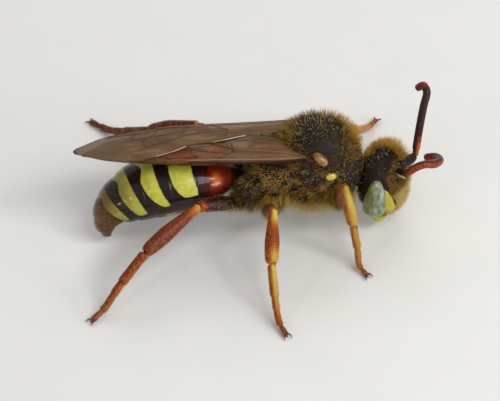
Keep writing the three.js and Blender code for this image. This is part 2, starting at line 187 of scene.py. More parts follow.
LEGS = {
    "fore_right": [
        (1.2, -0.6, 1.9), (1.22, -0.98, 1.5), (1.33, -1.78, 3.06), (1.66, -2.15, 1.5),
        (1.81, -2.55, 0.64), (1.86, -2.98, 0.24), (2.08, -3.32, 0.12),
    ],
    "fore_left": [
        (1.2, 0.6, 1.9), (1.3, 1.05, 1.5), (1.66, 2.1, 2.4), (2.2, 3.4, 1.36),
        (2.55, 4.15, 0.74), (2.86, 4.85, 0.28), (3.14, 5.35, 0.12),
    ],
    "mid_right": [
        (-0.8, -0.5, 1.9), (-1.45, -1.05, 1.32), (-1.31, -2.25, 2.45), (-1.47, -4.1, 1.53),
        (-1.39, -5.1, 0.7), (-1.28, -5.84, 0.26), (-1.08, -6.3, 0.12),
    ],
    "mid_left": [
        (-0.8, 0.5, 1.9), (-1.0, 1, 1.32), (-0.6, 2.3, 2.4), (-0.25, 3.9, 1.2),
        (0.0, 4.6, 0.52), (0.15, 5.1, 0.24), (0.36, 5.6, 0.12),
    ],
    "hind_right": [
        (-1.7, -0.6, 2.24), (-2.5, -1.12, 1.92), (-4.05, -1.95, 2.5), (-6.06, -3.66, 1.9),
        (-7.06, -4.3, 0.84), (-7.6, -4.82, 0.3), (-8.02, -5.2, 0.12),
    ],
    "hind_left": [
        (-1.7, 0.6, 2.24), (-2.5, 1.12, 1.92), (-3.9, 2.44, 2.72), (-5.7, 3.74, 1.38),
        (-6.4, 4.4, 0.8), (-7.22, 5.18, 0.25), (-7.9, 5.84, 0.12),
    ],
}

# The lamps: square, each as its place, the length of its side and its power in watts.
LAMPS = {
    "key": ((45, -55, 95), 60, 0.049),
    "rim": ((10, 90, 80), 60, 0.03),
    "high": ((76, -33, 84), 24, 0.024),
    "low": ((96, -58, 36), 30, 0.025),
    "window": ((-75, -62, 55), 14, 0.006),
}
LAMP_TARGET = (0, 0, 2.5)
SKY_STRENGTH = 0.45
FLOOR_HALF = 1500
CAMERA = {
    "azimuth": math.radians(-3),
    "elevation": math.radians(42),
    "distance": 120,
    "middle": (-2.09, -0.99, 1.88),
    "lens": 233.3,
}


def own_origin():
    """Where the bee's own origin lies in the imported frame: midway between the tegulae, less their place."""
    corners = np.array([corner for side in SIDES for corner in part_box(f"tegula_{side}")]) / MM
    middle = corners.mean(0)
    return np.array([middle[0] - TEGULA["centre"][0], middle[1], 0])


ORIGIN = own_origin()

# ---- Numbers, lines and skins ----


def unit(vectors):
    """The vectors, each one long."""
    return vectors / np.maximum(np.linalg.norm(vectors, axis=-1, keepdims=True), 1e-12)


def smooth(value, low, high):
    """A soft step from 0 at low to 1 at high."""
    share = np.clip((value - low) / (high - low), 0, 1)
    return share * share * (3 - 2 * share)


def groove(distance, width):
    """1 in the middle of a groove, falling to 0 beside it."""
    return np.exp(-((distance / width) ** 2))


def mixed(share, a, b):
    """a where the share is 0 and b where it is 1."""
    return a + (b - a) * share


def turned(a, b, angle):
    """Two coordinates turned by an angle, the first towards the second."""
    return a * math.cos(angle) - b * math.sin(angle), a * math.sin(angle) + b * math.cos(angle)


def from_head(points):
    """Points of the head's frame (X out of the face, Y to its left, Z up) in the bee's frame."""
    x, y, z = np.moveaxis(np.asarray(points, float), -1, 0)
    x, z = turned(x, z, HEAD["pitch"])
    x, y = turned(x, y, HEAD["yaw"])
    return np.stack([x, y, z], -1) + np.array(HEAD["centre"])


def curve_through(knots, steps=24):
    """A centripetal Catmull-Rom curve through the knots."""
    knots = np.array(knots, float)
    padded = np.vstack([2 * knots[0] - knots[1], knots, 2 * knots[-1] - knots[-2]])
    gaps = np.linalg.norm(np.diff(padded, axis=0), axis=1) ** 0.5
    share = np.linspace(0, 1, steps, endpoint=False)[:, None]
    pieces = []
    for index in range(len(knots) - 1):
        before, start, end, after = padded[index : index + 4]
        a, b, c = gaps[index : index + 3]
        leave = ((start - before) / a - (end - before) / (a + b) + (end - start) / b) * b
        arrive = ((end - start) / b - (after - start) / (b + c) + (after - end) / c) * b
        pieces.append(
            (2 * share**3 - 3 * share**2 + 1) * start
            + (share**3 - 2 * share**2 + share) * leave
            + (3 * share**2 - 2 * share**3) * end
            + (share**3 - share**2) * arrive
        )
    return np.vstack([*pieces, knots[-1:]])


class Path:
    """A smooth line through a few points, with a sideways direction carried along it without twist."""

    def __init__(self, knots, sideways=(0, 1, 0)):
        self.points = curve_through(knots)
        steps = np.linalg.norm(np.diff(self.points, axis=0), axis=1)
        travelled = np.concatenate([[0], np.cumsum(steps)])
        self.length = travelled[-1]
        self.shares = travelled / self.length
        self.tangents = unit(np.gradient(self.points, travelled, axis=0))
        carried = np.array(sideways, float)
        sides = []
        for tangent in self.tangents:
            carried = unit(carried - tangent * (carried @ tangent))
            sides.append(carried)
        self.sides = np.array(sides)

    def along(self, values, share):
        """Values held at the line's points, read at shares of its length."""
        return np.stack([np.interp(share, self.shares, values[:, axis]) for axis in range(3)], -1)

    def at(self, share):
        return self.along(self.points, share)

    def tangent(self, share):
        return unit(self.along(self.tangents, share))

    def place(self, share, sideways, upwards):
        """Points beside the line: so far to its side and so far above it."""
        side = unit(self.along(self.sides, share))
        above = np.cross(side, self.tangent(share))
        return self.at(share) + side * sideways[..., None] + above * upwards[..., None]


class Shape:
    """A mesh in millimetres: corners, faces (arrays of corner numbers), marks and an unwrap."""

    def __init__(self, corners, faces, marks=None, unwrap=None):
        self.corners = corners
        self.faces = faces
        self.marks = marks or {}
        self.unwrap = unwrap


def joined(shapes):
    """Several shapes as one."""
    counts = [len(shape.corners) for shape in shapes]
    starts = np.concatenate([[0], np.cumsum(counts)[:-1]]).astype(int)
    faces = [face + start for shape, start in zip(shapes, starts) for face in shape.faces]
    marks = {}
    for name in dict.fromkeys(name for shape in shapes for name in shape.marks):
        parts = [shape.marks.get(name, np.zeros(len(shape.corners))) for shape in shapes]
        marks[name] = np.concatenate(parts)
    unwraps = [shape.unwrap for shape in shapes]
    unwrap = None if any(part is None for part in unwraps) else np.concatenate(unwraps)
    return Shape(np.concatenate([shape.corners for shape in shapes]), faces, marks, unwrap)


class Skin:
    """A closed skin on a grid whose rows run from one end to the other and whose columns run round."""

    def __init__(self, points, tile=(0, 0, 1, 1), **marks):
        self.points = points
        self.tile = tile
        self.marks = {name: np.broadcast_to(value, points.shape[:2]) for name, value in marks.items()}
        down = np.gradient(points, axis=0)
        round_about = np.roll(points, -1, 1) - np.roll(points, 1, 1)
        normals = np.cross(down, round_about)
        outward = np.einsum("rck,rck->", normals, points - points.mean((0, 1)))
        self.inside_out = outward < 0
        self.normals = unit(-normals if self.inside_out else normals)

    def shape(self):
        """The skin as a mesh, its two ends closed by a fan each."""
        rows, columns = self.points.shape[:2]
        corner = np.arange(rows * columns).reshape(rows, columns)
        after = np.roll(corner, -1, 1)
        quads = np.stack([corner[:-1], corner[1:], after[1:], after[:-1]], -1).reshape(-1, 4)
        ends = np.full(columns, rows * columns)
        first = np.stack([ends, corner[0], after[0]], -1)
        last = np.stack([ends + 1, after[-1], corner[-1]], -1)
        faces = [quads, first, last]
        if self.inside_out:
            faces = [face[:, ::-1] for face in faces]
        marks = {name: self.with_ends(mark) for name, mark in self.marks.items()}
        return Shape(self.with_ends(self.points), faces, marks)

    @staticmethod
    def with_ends(grid):
        """The grid's values in a row, and then the means of its first and last rows."""
        flat = grid.reshape(-1, *grid.shape[2:])
        return np.concatenate([flat, [grid[0].mean(0)], [grid[-1].mean(0)]])

    def scatter(self, count, rng):
        """Even random places on the skin, as roots for hair."""
        rows, columns = self.points.shape[:2]
        down = self.points[1:] - self.points[:-1]
        round_about = (np.roll(self.points, -1, 1) - self.points)[:-1]
        area = np.linalg.norm(np.cross(down, round_about), axis=-1)
        cells = rng.choice(area.size, count, p=area.ravel() / area.sum())
        row, column = np.divmod(cells, columns)
        low, across = rng.random((2, count, 1))

        def read(grid):
            grid = grid.reshape(rows, columns, -1)
            after = (column + 1) % columns
            near = mixed(across, grid[row, column], grid[row, after])
            far = mixed(across, grid[row + 1, column], grid[row + 1, after])
            return mixed(low, near, far)

        left, bottom, width, height = self.tile
        turn = (column[:, None] + across) / columns
        share = (row[:, None] + low) / (rows - 1)
        return {
            "place": read(self.points),
            "normal": unit(read(self.normals)),
            "share": share[:, 0],
            "turn": turn[:, 0],
            "unwrap": np.hstack([left + width * turn, bottom + height * share]),
            **{name: read(mark)[:, 0] for name, mark in self.marks.items()},
        }


def ball(centre, half):
    """An ellipsoid as a field: below 0 inside, 0 on its surface, and roughly millimetres."""
    centre, half = np.array(centre, float), np.array(half, float)

    def field(points):
        offset = points - centre
        reach = np.maximum(np.linalg.norm(offset / half, axis=-1), 1e-6)
        return (reach - 1) * np.linalg.norm(offset, axis=-1) / reach

    return field


def blended(fields, softness):
    """One field for several shapes that flow into each other."""

    def field(points):
        values = np.stack([part(points) for part in fields])
        return -softness * np.log(np.exp(-np.maximum(values, -30 * softness) / softness).sum(0))

    return field


def globe(rows, columns):
    """The latitudes (from the first pole) and longitudes of a sphere's grid."""
    latitude = np.pi * (np.arange(rows) + 0.5)[:, None] / rows
    longitude = 2 * np.pi * np.arange(columns)[None] / columns
    return latitude, longitude


def rays(rows, columns):
    """The directions from a sphere's centre to its grid, with the poles on Z."""
    latitude, longitude = globe(rows, columns)
    x, y = np.sin(latitude) * np.cos(longitude), np.sin(latitude) * np.sin(longitude)
    return np.stack([x, y, np.cos(latitude) * np.ones_like(longitude)], -1)


def wrapped(field, centre, rows, columns, reach, poles=0, halvings=22):
    """The field's surface round a centre, on a grid whose poles lie on the given axis."""
    ways = np.roll(rays(rows, columns), poles + 1, -1)
    low = np.zeros((rows, columns))
    high = np.full((rows, columns), float(reach))
    for _ in range(halvings):
        middle = (low + high) / 2
        inside = field(np.array(centre) + ways * middle[..., None]) < 0
        low = np.where(inside, middle, low)
        high = np.where(inside, high, middle)
    return np.array(centre) + ways * low[..., None]


def limb(path, radii, rows=28, columns=20, flat=1.0, ends=0.16, tile=(0, 0, 1, 1), **marks):
    """A tapering length with rounded ends. radii is a list of (share, radius); marks are functions of
    the share and the turn (0 on top, 0.25 towards the path's side)."""
    spread = (1 - np.cos(np.pi * (np.arange(rows) + 0.5) / rows)) / 2
    share = spread[:, None] * np.ones((1, columns))
    turn = (np.arange(columns) / columns)[None] * np.ones((rows, 1))
    stops, sizes = np.array(radii, float).T
    fine = np.interp(share, stops, sizes)
    near_end = np.minimum(share, 1 - share) / ends
    fine = fine * np.sqrt(np.clip(1 - (1 - np.clip(near_end, 0, 1)) ** 2, 0, 1))
    sideways = fine * np.sin(2 * np.pi * turn)
    upwards = fine * flat * np.cos(2 * np.pi * turn)
    painted = {name: mark(share, turn) for name, mark in marks.items()}
    return Skin(path.place(share, sideways, upwards), tile, **painted)


def sized(size, radii):
    """Radii given as shares of a size, at their places along a limb."""
    return [(share, radius * size) for share, radius in radii]


def egg(centre, half, rows=20, columns=32, reshape=None):
    """An ellipsoid skin, its poles on Z, in whatever frame reshape gives."""
    points = rays(rows, columns) * half
    return Skin((reshape(points) if reshape else points) + np.array(centre))


# ---- Putting pieces into the scene ----


def placed(name, data):
    """A new object of the scene for a mesh, a lamp or a camera."""
    thing = bpy.data.objects.new(name, data)
    bpy.context.collection.objects.link(thing)
    return thing


def show(name, shape, finish, replaces=()):
    """A shape as an object of the scene, riding on the bee's one body; finish is a key of FINISHES."""
    corners = (shape.corners + ORIGIN) * MM
    loops = np.concatenate([face.ravel() for face in shape.faces]).astype(np.int32)
    sizes = np.concatenate([np.full(len(face), face.shape[1]) for face in shape.faces])
    starts = np.concatenate([[0], np.cumsum(sizes)[:-1]]).astype(np.int32)
    mesh = bpy.data.meshes.new(name)
    mesh.vertices.add(len(corners))
    mesh.vertices.foreach_set("co", corners.astype(np.float32).ravel())
    mesh.loops.add(len(loops))
    mesh.loops.foreach_set("vertex_index", loops)
    mesh.polygons.add(len(sizes))
    mesh.polygons.foreach_set("loop_start", starts)
    mesh.polygons.foreach_set("use_smooth", np.ones(len(sizes), bool))
    mesh.update(calc_edges=True)
    if shape.unwrap is not None:
        layer = mesh.uv_layers.new(name="OFBake")
        layer.data.foreach_set("uv", shape.unwrap[loops].astype(np.float32).ravel())
    for mark, values in shape.marks.items():
        layer = mesh.attributes.new(mark, "FLOAT", "POINT")
        layer.data.foreach_set("value", np.ascontiguousarray(values, np.float32))
    mesh.validate()
    mesh.materials.append(FINISHES[finish].material)
    piece = placed(name, mesh)
    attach(piece, "root")
    if replaces:
        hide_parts(*replaces)


# ---- Finishes ----


def ink(red, green, blue):
    """A display colour (0 to 255 each) as the linear colour that a shader takes."""
    parts = [channel / 255 for channel in (red, green, blue)]
    return (*[c / 12.92 if c <= 0.04045 else ((c + 0.055) / 1.055) ** 2.4 for c in parts], 1)


class Finish:
    """A node material on the Principled shader, with its textures measured in millimetres."""

    def __init__(self, name, settings):
        self.material = bpy.data.materials.new(name)
        self.material.use_nodes = True
        self.tree = self.material.node_tree
        self.shader = self.tree.nodes["Principled BSDF"]
        for socket, value in settings.items():
            self.shader.inputs[socket].default_value = value
        place = self.node("TexCoord").outputs["Object"]
        self.place = self.node("VectorMath", {0: place, "Scale": 1 / MM}, operation="SCALE").outputs[0]

    def node(self, kind, inputs=None, **settings):
        made = self.tree.nodes.new("ShaderNode" + kind)
        for key, value in settings.items():
            setattr(made, key, value)
        for key, value in (inputs or {}).items():
            self.feed(made.inputs[key], value)
        return made

    def feed(self, socket, value):
        if isinstance(value, bpy.types.NodeSocket):
            self.tree.links.new(value, socket)
        else:
            socket.default_value = value

    def mark(self, name):
        return self.node("Attribute", attribute_name=name).outputs["Fac"]

    def noise(self, scale, detail=2.0, roughness=0.5, place=None):
        inputs = {"Vector": place or self.place, "Scale": scale, "Detail": detail, "Roughness": roughness}
        return self.node("TexNoise", inputs).outputs["Fac"]

    def uneven(self, scale, depth):
        """Noise about 0, to make a mark's edge ragged or a tone uneven."""
        return self.math("MULTIPLY", self.math("SUBTRACT", self.noise(scale, 3), 0.5), depth)

    def cells(self, scale, randomness=1.0):
        inputs = {"Vector": self.place, "Scale": scale, "Randomness": randomness}
        return self.node("TexVoronoi", inputs).outputs["Distance"]

    def stretched(self, x, y, z):
        return self.node("VectorMath", {0: self.place, 1: (x, y, z)}, operation="MULTIPLY").outputs[0]

    def math(self, operation, a, b=0.0, clamp=False):
        return self.node("Math", {0: a, 1: b}, operation=operation, use_clamp=clamp).outputs[0]

    def step(self, value, low, high, to_low=0.0, to_high=1.0):
        inputs = {"Value": value, "From Min": low, "From Max": high, "To Min": to_low, "To Max": to_high}
        return self.node("MapRange", inputs, interpolation_type="SMOOTHSTEP").outputs["Result"]

    def blend(self, share, a, b):
        made = self.node("Mix", data_type="RGBA")
        for index, value in ((0, share), (6, a), (7, b)):
            self.feed(made.inputs[index], value)
        return made.outputs[2]

    def ramp(self, value, stops):
        made = self.node("ValToRGB", {"Fac": value})
        elements = made.color_ramp.elements
        while len(elements) < len(stops):
            elements.new(0.5)
        for element, (position, colour) in zip(elements, stops):
            element.position = position
            element.color = colour
        return made.outputs["Color"]

    def colour(self, value):
        self.feed(self.shader.inputs["Base Color"], value)
        return self

    def rough(self, value):
        self.feed(self.shader.inputs["Roughness"], value)
        return self

    def bump(self, *layers):
        """Each layer is (height, its depth in millimetres)."""
        normal = None
        for height, depth in layers:
            inputs = {"Height": height, "Distance": depth * MM, "Strength": 1.0}
            made = self.node("Bump", inputs)
            if normal is not None:
                self.feed(made.inputs["Normal"], normal)
            normal = made.outputs["Normal"]
        self.feed(self.shader.inputs["Normal"], normal)
        return self


BLACK = ink(24, 17, 13)


def pits(finish, scale, size=0.42):
    """Small round pits, spaced at random: 0 in a pit and 1 between them."""
    return finish.step(finish.cells(scale), size * 0.4, size)


def cuticle_finish():
    """Black, satin, closely pitted: the thorax under its pile."""
    finish = Finish("cuticle", {"Roughness": 0.5, "Specular IOR Level": 0.25})
    finish.colour(finish.blend(finish.noise(3), BLACK, ink(44, 30, 20)))
    return finish.bump((pits(finish, 15), 0.02), (finish.noise(40), 0.006))


def head_finish():
    """The black head with its yellow lower face, marked on the skin as a distance from the edge."""
    finish = Finish("head_cuticle", {"Roughness": 0.5, "Specular IOR Level": 0.16})
    edge = finish.math("ADD", finish.mark("yellow"), finish.math("MULTIPLY", finish.noise(9), 0.06))
    yellow = finish.step(edge, 0.02, 0.06)
    black = finish.blend(finish.noise(4), BLACK, ink(40, 28, 20))
    tinted = finish.blend(finish.noise(6), ink(176, 172, 66), ink(190, 174, 70))
    finish.colour(finish.blend(yellow, black, tinted))
    return finish.bump((pits(finish, 18, 0.36), 0.014), (finish.noise(50), 0.004))


def abdomen_finish():
    """Glossy black plates with wax-yellow bands, a red first ring with a painted orange glow of light, and a
    browner, hairier end.
    """
    settings = {"Coat Weight": 0.5, "Coat Roughness": 0.05, "Specular IOR Level": 0.1}
    finish = Finish("abdomen_cuticle", settings)
    ragged = finish.uneven(8, 0.05)
    yellow = finish.step(finish.math("ADD", finish.mark("yellow"), ragged), -0.012, 0.03)
    red = finish.math("ADD", finish.mark("red"), finish.math("MULTIPLY", ragged, 5.0))
    brown = finish.math("ADD", finish.mark("brown"), finish.math("MULTIPLY", ragged, 4.0), clamp=True)
    black = finish.blend(finish.noise(2.5), BLACK, ink(36, 24, 18))
    # The orange top of this ramp is reached only in the first ring's painted glow.
    reddened = finish.ramp(red, [(0.0, BLACK), (0.3, ink(64, 14, 7)), (0.62, ink(116, 34, 10)),
                                 (1.0, ink(200, 100, 20))])
    dark = finish.blend(finish.step(red, 0.03, 0.12), black, reddened)
    dark = finish.blend(brown, dark, finish.blend(finish.noise(7), ink(108, 68, 24), ink(64, 40, 16)))
    waxy = finish.blend(finish.step(finish.noise(5, 3), 0.35, 0.7), ink(204, 202, 80), ink(188, 186, 64))
    late = finish.step(finish.mark("share"), 0.5, 0.82)
    high = finish.step(finish.mark("down"), 0.05, 0.22, 1.0, 0.46)
    waxy = finish.blend(finish.math("MULTIPLY", late, high), waxy, ink(108, 84, 34))
    finish.colour(finish.blend(yellow, dark, waxy))
    finish.rough(finish.step(finish.noise(30), 0.3, 0.7, 0.24, 0.36))
    return finish.bump((pits(finish, 24, 0.3), 0.006), (finish.noise(60), 0.0015))


LIMB_TONES = [
    (0.0, ink(22, 14, 10)),
    (0.2, ink(58, 16, 6)),
    (0.45, ink(124, 40, 6)),
    (0.65, ink(170, 82, 8)),
    (0.85, ink(184, 138, 32)),
    (1.0, ink(208, 194, 88)),
]


def limb_finish(name, roughness, fine, gloss=0.35):
    """Legs and feelers: one tone from black (0) through red and orange to pale yellow (1)."""
    finish = Finish(name, {"Roughness": roughness, "Specular IOR Level": gloss})
    tone = finish.math("ADD", finish.mark("tone"), finish.uneven(6, 0.16), clamp=True)
    finish.colour(finish.blend(finish.mark("cream"), finish.ramp(tone, LIMB_TONES), ink(204, 208, 158)))
    return finish.bump((pits(finish, fine, 0.34), 0.007), (finish.noise(50), 0.003))


def eye_finish():
    """Grey-green and blue-grey, mottled in tall streaks, with fine facets under a clear gloss."""
    finish = Finish("compound_eye", {"Roughness": 0.3, "Coat Weight": 1.0, "Coat Roughness": 0.12})
    streaks = finish.noise(2.6, 3, 0.6, finish.stretched(1.7, 1.7, 0.6))
    greens = [(0.34, ink(84, 92, 30)), (0.5, ink(120, 130, 42)), (0.68, ink(142, 148, 66))]
    greys = [(0.36, ink(56, 64, 52)), (0.5, ink(104, 116, 92)), (0.64, ink(156, 164, 150))]
    green = finish.ramp(streaks, greens)
    grey = finish.ramp(streaks, greys)
    ground = finish.blend(finish.step(finish.mark("fore"), 0.4, 0.8), green, grey)
    low = finish.blend(finish.step(finish.mark("height"), 0.02, 0.3), ink(108, 124, 76), ground)
    low = finish.blend(finish.step(finish.mark("height"), 0.86, 1.0), low, ink(134, 124, 92))
    spots = finish.step(finish.noise(6, 2, 0.5, finish.stretched(1.6, 1.6, 0.6)), 0.58, 0.66, 0.0, 0.6)
    finish.colour(finish.blend(spots, low, ink(46, 52, 38)))
    return finish.bump((finish.cells(34, randomness=0.15), 0.006))


def glassy_finish(name, colour, deep, roughness=0.12):
    """Smooth and waxy under a clear gloss: ocelli, tegulae, shoulder lobes and claws."""
    finish = Finish(name, {"Roughness": roughness, "Coat Weight": 0.5, "Coat Roughness": 0.06})
    finish.colour(finish.blend(finish.step(finish.noise(5, 3), 0.3, 0.7), colour, deep))
    return finish.bump((finish.noise(25), 0.003))


def membrane_finish():
    """Smoky brown, see-through, with a faint sheen, rows of tiny hairs and a painted orange glow where light
    comes through from the body beneath.
    """
    finish = Finish("wing_membrane", {"Roughness": 0.4, "Alpha": 0.7, "Specular IOR Level": 0.2})
    cloudy = finish.noise(1.6, 4, 0.6, finish.stretched(0.5, 1.6, 1))
    brown = finish.ramp(cloudy, [(0.3, ink(92, 62, 36)), (0.55, ink(118, 86, 54)), (0.75, ink(150, 118, 82))])
    brown = finish.blend(finish.mark("edge"), brown, ink(106, 82, 56))
    # Two orange patches are painted glow: light coming through the wing from the red rings beneath.
    finish.colour(finish.blend(finish.math("MULTIPLY", finish.mark("warm"), 0.75), brown, ink(136, 66, 22)))
    lines = finish.noise(14, 2, 0.5, finish.stretched(0.35, 1.6, 1))
    return finish.bump((lines, 0.01), (finish.cells(60), 0.002))


def vein_finish():
    finish = Finish("wing_veins", {"Roughness": 0.5, "Specular IOR Level": 0.2})
    # The palest tone, near white, is a painted glint: light glancing off the wing's trailing edge.
    tones = [(0.0, ink(52, 20, 12)), (0.3, ink(66, 40, 26)), (0.5, ink(146, 76, 20)), (0.6, ink(112, 80, 54)),
             (0.8, ink(142, 108, 80)), (1.0, ink(250, 232, 208))]
    finish.colour(finish.ramp(finish.mark("tone"), tones))
    return finish.bump((finish.noise(30), 0.004))


HAIR_TONES = [
    (0.0, ink(26, 18, 12)),
    (0.25, ink(76, 54, 22)),
    (0.45, ink(136, 102, 26)),
    (0.62, ink(208, 152, 44)),
    (0.78, ink(216, 180, 90)),
    (0.9, ink(214, 194, 114)),
    (1.0, ink(226, 214, 156)),
]


def hair_finish():
    """One tone per hair, from near black (0) through gold to pale buff (1), darker at the root as painted
    shade deep in the pile.
    """
    finish = Finish("hair", {"Roughness": 0.36, "Specular IOR Level": 0.3})
    coloured = finish.ramp(finish.mark("tone"), HAIR_TONES)
    # painted shade: each hair darkens towards its root, where the pile shades it; noise adds uneven tone on
    # top.
    root_shade = finish.step(finish.mark("along"), 0.0, 0.4, 0.35, 0.0)
    uneven = finish.math("ADD", root_shade, finish.math("MULTIPLY", finish.noise(20), 0.1))
    finish.colour(finish.blend(uneven, coloured, ink(40, 26, 14)))
    return finish


FINISHES = {
    "cuticle": cuticle_finish(),
    "head": head_finish(),
    "abdomen": abdomen_finish(),
    "leg": limb_finish("leg_cuticle", 0.32, 16, 0.24),
    "feeler": limb_finish("feeler_cuticle", 0.36, 22, 0.3),
    "eye": eye_finish(),
    "ocellus": glassy_finish("ocellus_glass", ink(46, 28, 20), ink(24, 16, 12)),
    "tegula": glassy_finish("tegula_amber", ink(160, 116, 48), ink(112, 70, 22), 0.25),
    "lobe": glassy_finish("lobe_yellow", ink(206, 192, 78), ink(186, 158, 40), 0.3),
    "claw": glassy_finish("claw_horn", ink(128, 46, 20), ink(60, 20, 10)),
    "membrane": membrane_finish(),
    "vein": vein_finish(),
    "hair": hair_finish(),
}

# ---- Hair ----

# A hair's rings of corners below its tip, as (share of its length, share of its width).
HAIR_RINGS = ((0.0, 1.0), (0.38, 0.85), (0.72, 0.5))
HAIR_SIDES = 3
HAIR_CORNERS = len(HAIR_RINGS) * HAIR_SIDES + 1
HAIR_DEPTH = 0.01
# The size of each hair's patch on the unwrap, and the most hairs in one piece.
PATCH = 0.003
MOST_HAIRS = 12000
# How many hairs each coat tries to grow, and its seed; each leg adds its number to the seed.
COATS = {"thorax": (62000, 11), "head": (20000, 23), "abdomen": (9000, 31), "leg": (7000, 41)}


def hair_centres(place, normal, lie, style):
    """The middles of the hairs' rings, from the root to the tip."""
    levels = [level for level, _ in HAIR_RINGS] + [1.0]
    centres = [place - normal * HAIR_DEPTH]
    for before, after in zip(levels[:-1], levels[1:]):
        flatness = np.clip(style["lean"] + style["bend"] * (before + after) / 2, 0, 1.3)[:, None]
        ahead = unit(normal * (1 - flatness) + lie * flatness)
        centres.append(centres[-1] + ahead * ((after - before) * style["length"])[:, None])
    return centres


def hairs(roots, style, rng):
    """Thin three-sided spikes. style holds, for each hair, its length, width, lie (the way that it
    leans), lean (0 upright to 1 flat), bend towards its tip and tone."""
    count = len(roots["place"])
    normal = roots["normal"]
    lie = style["lie"] + rng.normal(0, 0.25, (count, 3))
    lie = unit(lie - normal * np.einsum("ij,ij->i", lie, normal)[:, None])
    side = np.cross(normal, lie)
    centres = hair_centres(roots["place"], normal, lie, style)
    rings = []
    along = []
    for (level, thickness), centre in zip(HAIR_RINGS, centres):
        for corner in range(HAIR_SIDES):
            angle = 2 * math.pi * corner / HAIR_SIDES
            out = side * math.cos(angle) + unit(lie + normal * 0.3) * math.sin(angle)
            rings.append(centre + out * (style["width"] * thickness / 2)[:, None])
            along.append(level)
    rings.append(centres[-1])
    along.append(1.0)
    corners = np.stack(rings, 1).reshape(-1, 3)
    along = np.tile(along, count)
    around = np.tile(np.arange(HAIR_CORNERS) % HAIR_SIDES / HAIR_SIDES, count)
    unwrap = np.repeat(roots["unwrap"], HAIR_CORNERS, 0) + PATCH * np.stack([around, along], -1)
    tone = np.repeat(np.clip(style["tone"], 0, 1), HAIR_CORNERS)
    return Shape(corners, [hair_faces(count)], {"along": along, "tone": tone}, unwrap)


def hair_faces(count):
    """The triangles of so many hairs, each with its root, its rings and its tip."""
    faces = [(2, 1, 0)]
    for ring in range(len(HAIR_RINGS) - 1):
        for corner in range(HAIR_SIDES):
            a = ring * HAIR_SIDES + corner
            b = ring * HAIR_SIDES + (corner + 1) % HAIR_SIDES
            faces += [(a, b, a + HAIR_SIDES), (b, b + HAIR_SIDES, a + HAIR_SIDES)]
    tip = HAIR_CORNERS - 1
    last = tip - HAIR_SIDES
    faces += [(last + corner, last + (corner + 1) % HAIR_SIDES, tip) for corner in range(HAIR_SIDES)]
    firsts = np.arange(count) * HAIR_CORNERS
    return (np.array(faces)[None] + firsts[:, None, None]).reshape(-1, 3)


def coat(part, skins, style, name=None, number=0):
    """Hair over some skins, as one piece or as several smaller ones."""
    count, seed = COATS[part]
    rng = np.random.default_rng(seed + number)
    share = count // 1
    sizes = [np.linalg.norm(np.ptp(skin.points.reshape(-1, 3), axis=0)) for skin in skins]
    grown = []
    for skin, size in zip(skins, sizes):
        roots = skin.scatter(max(1, int(share * size / sum(sizes))), rng)
        wanted = rng.random(len(roots["place"])) < style(roots, rng)["density"]
        roots = {name: values[wanted] for name, values in roots.items()}
        grown.append(hairs(roots, style(roots, rng), rng))
    whole = joined(grown)
    total = len(whole.corners) // HAIR_CORNERS
    pieces = max(1, math.ceil(total / MOST_HAIRS))
    for index in range(pieces):
        start, end = index * total // pieces, (index + 1) * total // pieces
        some = slice(start * HAIR_CORNERS, end * HAIR_CORNERS)
        marks = {mark: values[some] for mark, values in whole.marks.items()}
        shape = Shape(whole.corners[some], [hair_faces(end - start)], marks, whole.unwrap[some])
        label = f"coat_{name or part}" + (f"_{index + 1}" if pieces > 1 else "")
        show(label, shape, "hair")


# ---- Thorax ----


def thorax_skin():
    """One skin over the thorax and the neck, with the seams of its plates pressed in."""
    plates = [ball(*plate) for plate in PLATES.values()]
    neck = [ball(point, (NECK["radius"],) * 3) for point in NECK["points"]]
    haunches = [ball(*haunch) for haunch in HAUNCHES.values()]
    field = blended(plates + neck + haunches, THORAX_BLEND)
    points = wrapped(field, THORAX_CENTRE, rows=150, columns=160, reach=4)
    x, y, z = np.moveaxis(points, -1, 0)
    skin = Skin(points)
    notum = smooth(z, 3.2, 3.5)
    seams = groove(x + 0.62 + 0.12 * y * y, 0.05) * notum * 0.07
    seams += groove(x + 1.46 + 0.1 * y * y, 0.05) * notum * 0.05
    seams += groove(y, 0.025) * notum * smooth(x, -0.5, 0.3) * 0.02
    seams += groove(np.abs(y) - 0.55, 0.03) * notum * smooth(x, -0.4, 0.0) * 0.015
    seams += groove(x - 1.02 - 0.25 * (z - 3), 0.06) * smooth(z, 1.9, 2.4) * 0.05
    seams += groove(x + 0.75 - 0.2 * (z - 3), 0.05) * smooth(3.5 - z, 0, 0.3) * 0.05
    return Skin(points - skin.normals * seams[..., None])


def thorax_zones(place, normal):
    """How far each place is in each zone of the coat, from 0 to 1."""
    x, y, z = place.T
    belly = smooth(-normal[:, 2], 0.3, 0.62)
    top = smooth(normal[:, 2], 0.12, 0.4) * smooth(z, 3.2, 3.45)
    sides = np.clip(1 - top - belly, 0, 1)
    collar = smooth(x, 1.15, 1.5) * smooth(3.6 - z, 0, 0.3) * (1 - belly)
    rear = smooth(-x, 0.1, 0.5) * top
    rim = np.maximum(smooth(np.hypot(x - 0.42, y), 0.72, 1.05) * top * (1 - collar), rear)
    bare = 1 - smooth(np.hypot((x - 0.14) / 0.42, (z - 3.12) / 0.52), 0.7, 1.15)
    olive = smooth(-x - 0.7 * (z - 2.4), 1.4, 1.8)
    waves = np.sin(7.1 * x + 1.3) * np.sin(8.3 * z + 0.4) + 0.6 * np.sin(11.0 * x - 9.0 * z)
    gold = smooth(waves, -0.8, 0.3) * (1 - bare) * (1 - 0.5 * olive)
    low = smooth(2.5 - z, 0, 0.5) * sides
    return belly, top, sides, collar, rim, olive, gold, low


